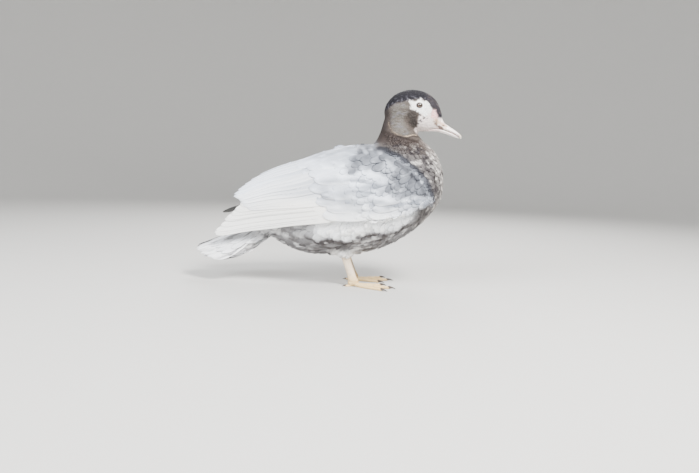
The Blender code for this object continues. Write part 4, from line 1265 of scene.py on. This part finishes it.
def makeTail(finish):
    draw = np.random.default_rng(60)
    made = []

    def fan(name, number, which, count, root, tip, height, spread, kind, blunt):
        rows, across = tailFeathers["rows"], tailFeathers["across"]
        turned = 1 if which else -1
        u = np.linspace(-1, 1, count) * (0.97 if kind == "vane" else 0.88)
        pitch = u[1] - u[0]
        s, c = vaneGrid(rows, across)
        half = spread * pitch * draw.uniform(0.94, 1.06, count) * 0.62
        wide = half[:, None, None] * featherOutline(s, 0.5, blunt)[None, :, None] * c
        ends = tip + draw.uniform(-1, 1, count) * (0.015 if kind == "vane" else 0.055)
        a = root + (ends - root)[:, None, None] * s[None, :, None] + 0 * wide
        b = u[:, None, None] * (0.90 + 0.10 * s[None, :, None]) + wide

        def face(p, q):
            return tailFace(p, q, which)

        out = normalOn(face, a, b, turned)
        lifted = 0.0036 * smooth(0.04, 0.26, u) * smooth(0.75, 0.45, u) - 0.0011 * np.abs(u)
        lifted = lifted * (kind == "vane")
        rise = (height + lifted)[:, None, None] * (0.12 + 0.88 * s)[None, :, None]
        rise = rise + 0.0008 * np.sign(u)[:, None, None] * wide / pitch - 0.0009 * c[None, None] ** 2
        drawn = draw.random(count)
        top = face(a, b) + out * rise[..., None]
        colours = tailColours(top, c, s, drawn, kind)
        bake = bakeGrid(s, c, count, number, 16, 7.2)
        made.append(vaneObject(name, top, out, tailFeathers["thick"], finish, colours, drawn, bake))

    fan("rectrices", 0, 0, 2 * tailFeathers["side"] + 1, 0.10, 1.0, 0.0034, 1.5, "vane", 0.13)
    for number, (under, count, root, tip, height, spread) in enumerate(tailFeathers["coverts"]):
        fan(f"tail_coverts_{number + 1}", number + 1, under, count, root, tip, height, spread,
            "under" if under else "cover", 0.22)
    return joined("tail_feathers", made)


place(makeTail(flightLook), "tail_feathers", "tail")
print("tail made")

# The bill
bill = {  # rows of x, top, bottom, half width and level of the widest place, millimetres
    "upper": [(188, 300, 300, 0, 300), (190, 313, 292, 10.5, 297), (201, 314, 290.5, 12, 296.5),
              (205, 313, 289.8, 12, 295.4), (207.4, 307.8, 289.1, 11.8, 293.6), (212, 300.4, 288, 11.5, 291),
              (222, 293.6, 284.5, 11.3, 287.5), (232, 287.4, 280.5, 11, 283),
              (239, 282.0, 276.5, 8.8, 279), (242.6, 278.2, 273.6, 4.5, 276),
              (243.6, 275.5, 275.5, 0, 275.5)],
    "lower": [(180, 287, 287, 0, 287), (182, 288.5, 285, 8.5, 287), (196, 289.5, 285.5, 10, 288),
              (210, 288, 282.6, 9.8, 286), (222, 284, 279.2, 9.4, 282), (233, 279.6, 275.6, 7.8, 278),
              (238.4, 276.6, 274.2, 3.6, 275.6), (239.4, 275.4, 275.4, 0, 275.4)],
    "nostril": (0.2092, 0.0102, 0.2950), "nostrilSize": (0.0030, 0.0026, 0.0012),
    "tones": {"horn": (250, 242, 238), "base": (236, 214, 210), "streak": (92, 70, 60), "pit": (36, 25, 23),
              "ridge": (176, 158, 150), "nail": (244, 238, 222), "edge": (220, 204, 196),
              "lip": (176, 150, 140), "tan": (186, 150, 122)},
}


def section(row, count, square=2.15):  # a ring across the bill, between an ellipse and a rectangle
    x, top, bottom, half, level = row
    angle = circle(count)
    c, s = np.cos(angle), np.sin(angle)
    y = half * np.sign(c) * np.abs(c) ** (2 / square)
    rise = np.where(s > 0, top - level, level - bottom)
    z = level + rise * np.sign(s) * np.abs(s) ** (2 / square)
    return np.column_stack([np.full(count, x), y, z]) / 1000


def hornTone(p):
    tone = linear(bill["tones"])
    x, y, z = p.T
    over = layers(tone)
    c = np.tile(tone["horn"], (len(p), 1))
    c = over(c, "base", smooth(0.212, 0.192, x + 0.003 * noiseAt(p, 0.004, 31)))
    top = np.interp(x * 1000, [row[0] for row in bill["upper"]], [row[1] for row in bill["upper"]]) / 1000
    c = over(c, "ridge", 0.75 * smooth(0.0045, 0.0008, top - z) * smooth(0.222, 0.200, x))
    flat = np.column_stack([x, z])
    c = over(c, "tan", 0.80 * smooth(0.0040, 0.0016, toLine(flat, tanLine) + 0.0008 * noiseAt(p, 0.003, 36)))
    gap = toLine(flat, streakLine) + 0.0006 * noiseAt(p, 0.003, 32)
    c = over(c, "streak", 0.92 * smooth(0.0030, 0.0011, gap))
    grain = noiseAt(p * [0.5, 1, 1.4], 0.004, 33)
    c = over(c, "streak", 0.20 * smooth(0.2, 0.9, grain) * smooth(0.225, 0.205, x))
    mirror = np.column_stack([np.ones(len(p)), np.sign(y), np.ones(len(p))])
    spot = p - np.array(bill["nostril"]) * mirror
    # painted shade inside the nostril openings
    c = over(c, "pit", smooth(1.15, 0.7, np.linalg.norm(spot / bill["nostrilSize"], axis=1)))
    c = over(c, "nail", smooth(0.2375, 0.2395, x))
    c = over(c, "edge", 0.5 * smooth(0.2360, 0.2378, x) * smooth(0.2400, 0.2385, x))
    return c * (1 + 0.03 * noiseAt(p, 0.002, 34))[:, None]


def makeBill(finish):
    for part in ("upper", "lower"):
        rows = through(bill[part], np.linspace(0, len(bill[part]) - 1, 96))
        rings = [section(row, 56) for row in rows[1:-1]]
        piece = loft("bill_horn_" + part, rings, finish)
        points = places(piece.data)
        x, y, z = points.T
        if part == "upper":
            # nostrils open inwards and the nail stands a little proud
            mirror = np.column_stack([np.ones(len(x)), np.sign(y), np.ones(len(x))])
            spot = (points - np.array(bill["nostril"]) * mirror) / bill["nostrilSize"]
            inside = smooth(1.15, 0.55, np.linalg.norm(spot * [1, 0.6, 1], axis=1))
            points[:, 1] -= np.sign(y) * 0.0016 * inside
            rim = np.exp(-((np.linalg.norm(spot * [1, 0.6, 1], axis=1) - 1.35) / 0.25) ** 2)
            points[:, 1] += np.sign(y) * 0.0001 * rim
            points[:, 2] += 0.0004 * smooth(0.2368, 0.2382, x) * smooth(0.274, 0.28, z)
            points += (0.00012 * noiseAt(points, 0.003, 35))[:, None] * normals(piece.data)
        colours = hornTone(points)
        if part == "lower":
            lip = smooth(0.0016, 0.0004, np.interp(x * 1000, [r[0] for r in bill["lower"]],
                                                   [r[1] for r in bill["lower"]]) / 1000 - z)
            colours += (srgb(bill["tones"]["lip"]) - colours) * (0.5 * lip)[:, None]
        piece.data.vertices.foreach_set("co", points.ravel())
        piece.data.update()
        finished(piece, colours, "bill_horn", "bill_" + part)


def hornLook(w):
    spot = w.node("ShaderNodeTexCoord", None, None, out=3)
    stretched = w.node("ShaderNodeMapping", None, {"Vector": spot, "Scale": (160.0, 620.0, 620.0)})
    grain = w.noise(1.0, 4.0, stretched)
    return {"Base Color": w.tinted(grain.between(0.3, 0.7), (0.93, 0.91, 0.90), (1.04, 1.03, 1.03)),
            "Roughness": grain * 0.2 + 0.30, "Normal": w.bump(grain, 0.12, 0.0004), "Coat Weight": 0.2,
            "Subsurface Weight": 0.06, "Subsurface Radius": (0.004, 0.002, 0.001), "Subsurface Scale": 1.0}


horn = material("bill_horn", hornLook)
makeBill(horn)
print("bill made")

# Eyes, lids and the bare skin before them
eye = {
    "place": (0.1643, 0.0190, 0.3291), "radius": 0.0064,
    "looks": (0.16, 1.0, 0.04),  # which way the left eye points
    "pupil": 22, "iris": 38,  # degrees from its middle
    "opening": (0.0045, 0.0039),
    "tones": {"pupil": (6, 5, 5), "iris": (70, 42, 26), "rim": (14, 10, 9), "lid": (26, 18, 16),
              "bare": (226, 190, 186), "bulb": (224, 170, 168)},
    "bulbs": 15,
}


def makeEye(which, finish, lidFinish):
    side = sides[which]
    centre = np.array(eye["place"]) * [1, side, 1]
    looks = unit(np.array(eye["looks"]) * [1, side, 1])
    a = unit(np.cross(looks, [0, 0, 1.0]))
    b = np.cross(looks, a)
    rows, count = 40, 56
    rings = []
    for k in range(1, rows):
        angle = math.pi * (k / rows) ** 1.15
        swell = 1 + 0.035 * math.exp(-(math.degrees(angle) / 34) ** 4)
        turn = circle(count)
        ring = (looks * math.cos(angle) + np.outer(np.cos(turn), a) * math.sin(angle)
                + np.outer(np.sin(turn), b) * math.sin(angle))
        rings.append(centre + ring * eye["radius"] * swell)
    ball = loft("eyeball_" + which, rings, finish)
    points = places(ball.data)
    away = np.degrees(np.arccos(np.clip(unit(points - centre) @ looks, -1, 1)))
    tone = linear(eye["tones"])
    colour = np.tile(tone["pupil"], (len(points), 1))
    brown = tone["iris"] * (1 + 0.35 * noiseAt(points, 0.0011, 41))[:, None]
    colour += (brown - colour) * (smooth(eye["pupil"] - 2, eye["pupil"] + 2, away)
                                  * smooth(eye["iris"] + 3, eye["iris"] - 3, away))[:, None]
    colour += (tone["rim"] - colour) * smooth(eye["iris"] - 2, eye["iris"] + 2, away)[:, None]
    finished(ball, colour, "eye_glass", "eye_" + which)

    # lids: a rolled rim on the ball that runs out into the skin
    turn = circle(72)
    rings = []
    profile = [(0.94, 0.0, -0.0004), (0.99, 0.0, 0.0004), (1.06, 0.04, 0.0008), (1.16, 0.15, 0.0009),
               (1.32, 0.5, 0.0007), (1.55, 0.9, 0.0004), (1.85, 1.0, 0.0001), (1.85, 1.0, -0.0012),
               (1.4, 0.6, -0.0012), (1.0, 0.0, -0.0014)]
    for scale, share, lift in profile:
        x = centre[0] + eye["opening"][0] * scale * np.cos(turn)
        z = centre[2] + eye["opening"][1] * scale * np.sin(turn) * np.where(np.sin(turn) > 0, 1.0, 0.94)
        flat = np.hypot(x - centre[0], z - centre[2])
        onBall = np.abs(centre[1]) + np.sqrt(np.maximum(eye["radius"] ** 2 - flat ** 2, 1e-6))
        onSkin = []
        for px, pz in zip(x, z):
            far = 1.9 * eye["opening"][0] / max(math.hypot(px - centre[0], pz - centre[2]), 1e-6)
            if far >= 1:
                px, pz = centre[0] + (px - centre[0]) * far, centre[2] + (pz - centre[2]) * far
            hit = skinTree.ray_cast((px, side * 0.06, pz), (0, -side, 0))
            onSkin.append(abs(hit[0][1]) if hit[0] else abs(centre[1]) + 0.004)
        y = onBall * (1 - share) + np.array(onSkin) * share + lift
        rings.append(np.column_stack([x, side * y, z]))
    rings.append(rings[0])
    rings = np.array(rings)
    count = len(turn)
    points = rings[:-1].reshape(-1, 3)
    faces = []
    for i in range(len(profile)):
        for j in range(count):
            k, m = (j + 1) % count, (i + 1) % len(profile)
            faces.append((i * count + j, i * count + k, m * count + k, m * count + j))
    lid = faceOut(meshObject("lids_" + which, points, faces, lidFinish))
    points = places(lid.data)
    away = (points - centre)[:, [0, 2]] / eye["opening"]
    scale = np.hypot(away[:, 0], away[:, 1])
    colour = markings(points)
    colour += (tone["lid"] - colour) * smooth(1.44, 1.28, scale)[:, None]
    finished(lid, colour, "head_feathers")


def makeBulbs(which, finish):  # low fleshy bumps between the bill's base and the eye
    side = sides[which]
    draw = np.random.default_rng(70 + side)
    made = []
    for n in range(eye["bulbs"]):
        turn, spread = 2.4 * n, math.sqrt((n + 0.5) / eye["bulbs"])
        x = 0.1900 + 0.0042 * spread * math.cos(turn)
        z = 0.3135 + 0.0085 * spread * math.sin(turn)
        hit = skinTree.ray_cast((x, side * 0.06, z), (0, -side, 0))
        if not hit[0]:
            continue
        size = draw.uniform(0.0011, 0.0019) * (1.15 - 0.4 * spread)
        out = np.array(hit[1])
        a = unit(np.cross(out, [0, 0, 1.0]))
        b = np.cross(out, a)
        rings = []
        for k in range(1, 9):
            angle = math.pi * k / 9
            angles = circle(14)
            lobed = 1 + 0.08 * np.sin(3 * angles + n)
            rings.append(np.array(hit[0]) + out * size * 0.7 * math.cos(angle)
                         + np.outer(np.cos(angles) * lobed, a) * size * math.sin(angle) * 1.15
                         + np.outer(np.sin(angles) * lobed, b) * size * math.sin(angle))
        made.append(loft(f"bulb_{which}_{n}", rings, finish))
    piece = joined("caruncles_" + which, made)
    points = places(piece.data)
    tone = linear(eye["tones"])
    mixed = smooth(-0.3, 0.7, noiseAt(points, 0.0022, 42))[:, None]
    finished(piece, tone["bare"] + (tone["bulb"] - tone["bare"]) * mixed, "head_feathers")


def eyeLook(w):
    grain = w.noise(2600.0, 2.0)
    return {"Base Color": w.tinted(grain, (0.8, 0.8, 0.8), (1.2, 1.2, 1.2)),
            "Roughness": grain * 0.03 + 0.05, "Coat Weight": 1.0, "Coat Roughness": 0.02}


def bareLook(w):
    grain = w.noise(1500.0, 3.0)
    return {"Base Color": w.tinted(grain, (0.88, 0.84, 0.84), (1.1, 1.1, 1.1)),
            "Roughness": grain * 0.2 + 0.42, "Normal": w.bump(grain, 0.2, 0.0003),
            "Subsurface Weight": 0.08, "Subsurface Radius": (0.004, 0.0016, 0.001), "Subsurface Scale": 1.0}


glass, bare = material("eye_glass", eyeLook), material("bare_skin", bareLook)
for which in sides:
    makeEye(which, glass, bare)
    makeBulbs(which, bare)
print("eyes and face made")

# Legs and feet
leg = {
    "toes": {"inner": (-27, 0.052, 0.0042), "middle": (0, 0.066, 0.0046), "outer": (25, 0.062, 0.0042),
             "hind": (155, 0.015, 0.0030)},  # degrees outwards from straight ahead, length, radius
    "taper": 0.62, "rootHeight": 0.006,
    "foot": {"right": (0.059, -0.034, 8), "left": (0.055, 0.034, 8)},  # x, y, degrees turned out
    "hock": (-0.018, 0.060), "ankle": (-0.001, 0.0135), "shank": (0.0077, 0.0055),
    "knuckle": (0.0100, 0.0068, 0.0062),
    "web": 0.0011, "webHollow": 0.20,
    "claw": 0.011, "hindClaw": 0.007,
    "tones": {"shank": (236, 216, 192), "toe": (228, 198, 144), "web": (214, 182, 130),
              "groove": (176, 150, 118), "claw": (70, 60, 54), "clawTip": (36, 31, 29), "clawRoot": (150, 128, 104)},
}


def skinTone(p):
    tone = linear(leg["tones"])
    c = tone["toe"] + (tone["shank"] - tone["toe"]) * smooth(0.010, 0.026, p[:, 2])[:, None]
    c = c + (tone["groove"] - c) * (0.35 * smooth(0.1, 0.9, noiseAt(p, 0.004, 51)))[:, None]
    return c * (1 + 0.05 * noiseAt(p, 0.0016, 52))[:, None]


def makeToe(name, start, heading, length, radius, finish):
    way = np.array([math.cos(heading), math.sin(heading), 0])
    across = np.array([-math.sin(heading), math.cos(heading), 0])
    angle = circle(22)
    tip = radius * leg["taper"]
    joints = (0.30, 0.58, 0.82) if length > 0.03 else (0.5,)
    rings = []
    for s in np.linspace(0, 1, 90 if length > 0.03 else 30):
        wide = radius + (tip - radius) * s
        wide *= 1 + sum(0.10 * math.exp(-((s - j) / 0.05) ** 2) for j in joints) - 0.04
        if s > 0.95:
            wide *= math.sqrt(max(1 - ((s - 0.95) / 0.056) ** 2, 0.15))
        tall = wide * 0.9
        middle = tall * 0.72 + (leg["rootHeight"] - tall * 0.72) * max(0, 1 - 3.2 * s) ** 2
        scute = 0.00022 * abs(math.sin(math.pi * s * length / 0.0024)) ** 0.6
        upper = np.clip(np.sin(angle), 0, 1) ** 0.5
        ring = np.array(start) + way * length * s + np.outer(np.cos(angle) * wide, across)
        ring[:, 2] = np.maximum(0.0, middle + np.sin(angle) * tall + scute * upper)
        rings.append(ring)
    return loft(name, rings, finish)


def makeFoot(which, finish, clawFinish):
    side = sides[which]
    x, y, out = leg["foot"][which]
    root = np.array([x, y, 0.0])
    made, tips = [], {}
    for name, (angle, length, radius) in leg["toes"].items():
        heading = math.radians(side * (angle + out))
        made.append(makeToe(f"toe_{which}_{name}", root, heading, length, radius, finish))
        way = np.array([math.cos(heading), math.sin(heading), 0])
        tips[name] = (root + length * way, heading)
    # the joint over the toes
    rings = []
    kx, ky, kz = leg["knuckle"]
    for k in range(1, 16):
        a = math.pi * k / 16
        turn = circle(24)
        ring = np.column_stack([x - 0.001 + kx * np.cos(turn) * math.sin(a),
                                y + ky * np.sin(turn) * math.sin(a), np.full(24, ky + kz * math.cos(a))])
        ring[:, 2] = np.maximum(ring[:, 2], 0.0)
        rings.append(ring)
    made.append(loft("knuckle_" + which, rings, finish))
    # webs, thin and slightly folded, hollow at their front edge
    for first, second in (("inner", "middle"), ("middle", "outer")):
        a, b = tips[first][0], tips[second][0]
        grid = []
        for s in np.linspace(0.05, 0.97, 26):
            row = []
            for t in np.linspace(0, 1, 17):
                hollow = 1 - leg["webHollow"] * math.sin(math.pi * t) * s
                spot = root + (a + (b - a) * t - root) * s * hollow
                fold = 0.00035 * math.sin(5 * math.pi * t + 2 * s) * math.sin(math.pi * t)
                edge = 0.0012 * (2 * t - 1) ** 2 * (1 - 0.5 * s)
                spot[2] = 0.0016 + edge + fold + 0.0030 * max(0.0, 1 - 3 * s)
                row.append(spot)
            grid.append(row)
        upper = np.array(grid)
        lower = upper - [0, 0, leg["web"]]
        lower[..., 2] = np.maximum(lower[..., 2], 0.0002)
        made.append(coreObject(f"web_{which}_{first}", upper, lower, finish))
    foot = joined("foot_skin_" + which, made)
    points = places(foot.data)
    colour = skinTone(points)
    near = np.full(len(points), 1.0)
    for name, (tip, _) in tips.items():
        near = np.minimum(near, toLine(points[:, :2], np.array([root[:2], tip[:2]])))
    webby = smooth(0.0048, 0.0065, near)[:, None]
    colour += (srgb(leg["tones"]["web"]) - colour) * webby
    finished(foot, colour, "leg_skin", "foot_" + which)

    claws = []
    for name, (tip, heading) in tips.items():
        size = leg["hindClaw"] if name == "hind" else leg["claw"]
        way = np.array([math.cos(heading), math.sin(heading), 0])
        across = np.array([-math.sin(heading), math.cos(heading), 0])
        turn = circle(18)
        rings = []
        for s in np.linspace(-0.22, 1.0, 26):
            wide = size * (0.24 - 0.20 * max(s, 0) ** 0.8)
            middle = size * (0.27 + 0.12 * s - 0.32 * s * s)
            ring = tip + way * size * s + np.outer(np.cos(turn) * wide * 0.8, across)
            ring[:, 2] = np.maximum(0.0, middle + np.sin(turn) * wide)
            rings.append(ring)
        claws.append(loft(f"claw_{which}_{name}_horn", rings, clawFinish))
    piece = joined("claws_" + which, claws)
    points = places(piece.data)
    away = np.min([np.linalg.norm(points - tip, axis=1) for tip, _ in tips.values()], axis=0)
    tone = linear(leg["tones"])
    colour = tone["clawRoot"] + (tone["claw"] - tone["clawRoot"]) * smooth(0.0, 0.003, away)[:, None]
    colour += (tone["clawTip"] - colour) * smooth(0.004, 0.010, away)[:, None]
    finished(piece, colour, "claw_horn", *(f"claw_{which}_{name}" for name in leg["toes"]))


def makeShank(which, finish):
    x, y, _ = leg["foot"][which]
    hock = np.array([x + leg["hock"][0], y, leg["hock"][1]])
    ankle = np.array([x + leg["ankle"][0], y, leg["ankle"][1]])
    turn = circle(40)
    rings = []
    for s in np.linspace(-0.06, 1.10, 150):
        centre = hock + (ankle - hock) * s - np.array([0, 0, 0.0023])
        swell = 1 + 0.28 * (2 * min(max(s, 0), 1) - 1) ** 4
        if s > 1:
            swell *= 1 - 1.5 * (s - 1)
        front = np.clip(np.cos(turn), 0, 1) ** 0.4
        scute = 0.00026 * abs(math.sin(math.pi * s * 15)) ** 0.5 * front
        back = 0.00015 * np.abs(np.sin(9 * turn + 3 * math.sin(math.pi * s * 22))) * (1 - front)
        ring = np.column_stack([
            centre[0] + (leg["shank"][0] * swell - 0.0002 + scute + back) * np.cos(turn),
            centre[1] + (leg["shank"][1] * swell - 0.0002 + scute + back) * np.sin(turn),
            np.full(40, centre[2])])
        rings.append(ring)
    shank = loft("shank_skin_" + which, rings, finish)
    finished(shank, skinTone(places(shank.data)), "leg_skin", "shank_" + which)


def legLook(w):
    cells = w.node("ShaderNodeTexVoronoi", {"feature": "DISTANCE_TO_EDGE"}, {"Scale": 620.0})
    grain = w.noise(1400.0, 3.0)
    scale = cells.between(0.02, 0.16)
    return {"Base Color": w.tinted(scale, (0.80, 0.76, 0.70), (1.03, 1.03, 1.03)),
            "Roughness": grain * 0.2 + 0.42, "Normal": w.bump(scale + grain * 0.3, 0.35, 0.0004)}


def clawLook(w):
    grain = w.noise(900.0, 3.0)
    return {"Base Color": w.tinted(grain, (0.8, 0.8, 0.8), (1.15, 1.12, 1.1)),
            "Roughness": grain * 0.2 + 0.28, "Coat Weight": 0.2}


scaly, clawHorn = material("leg_skin", legLook), material("claw_horn", clawLook)
for which in sides:
    makeFoot(which, scaly, clawHorn)
    makeShank(which, scaly)
print("legs made")
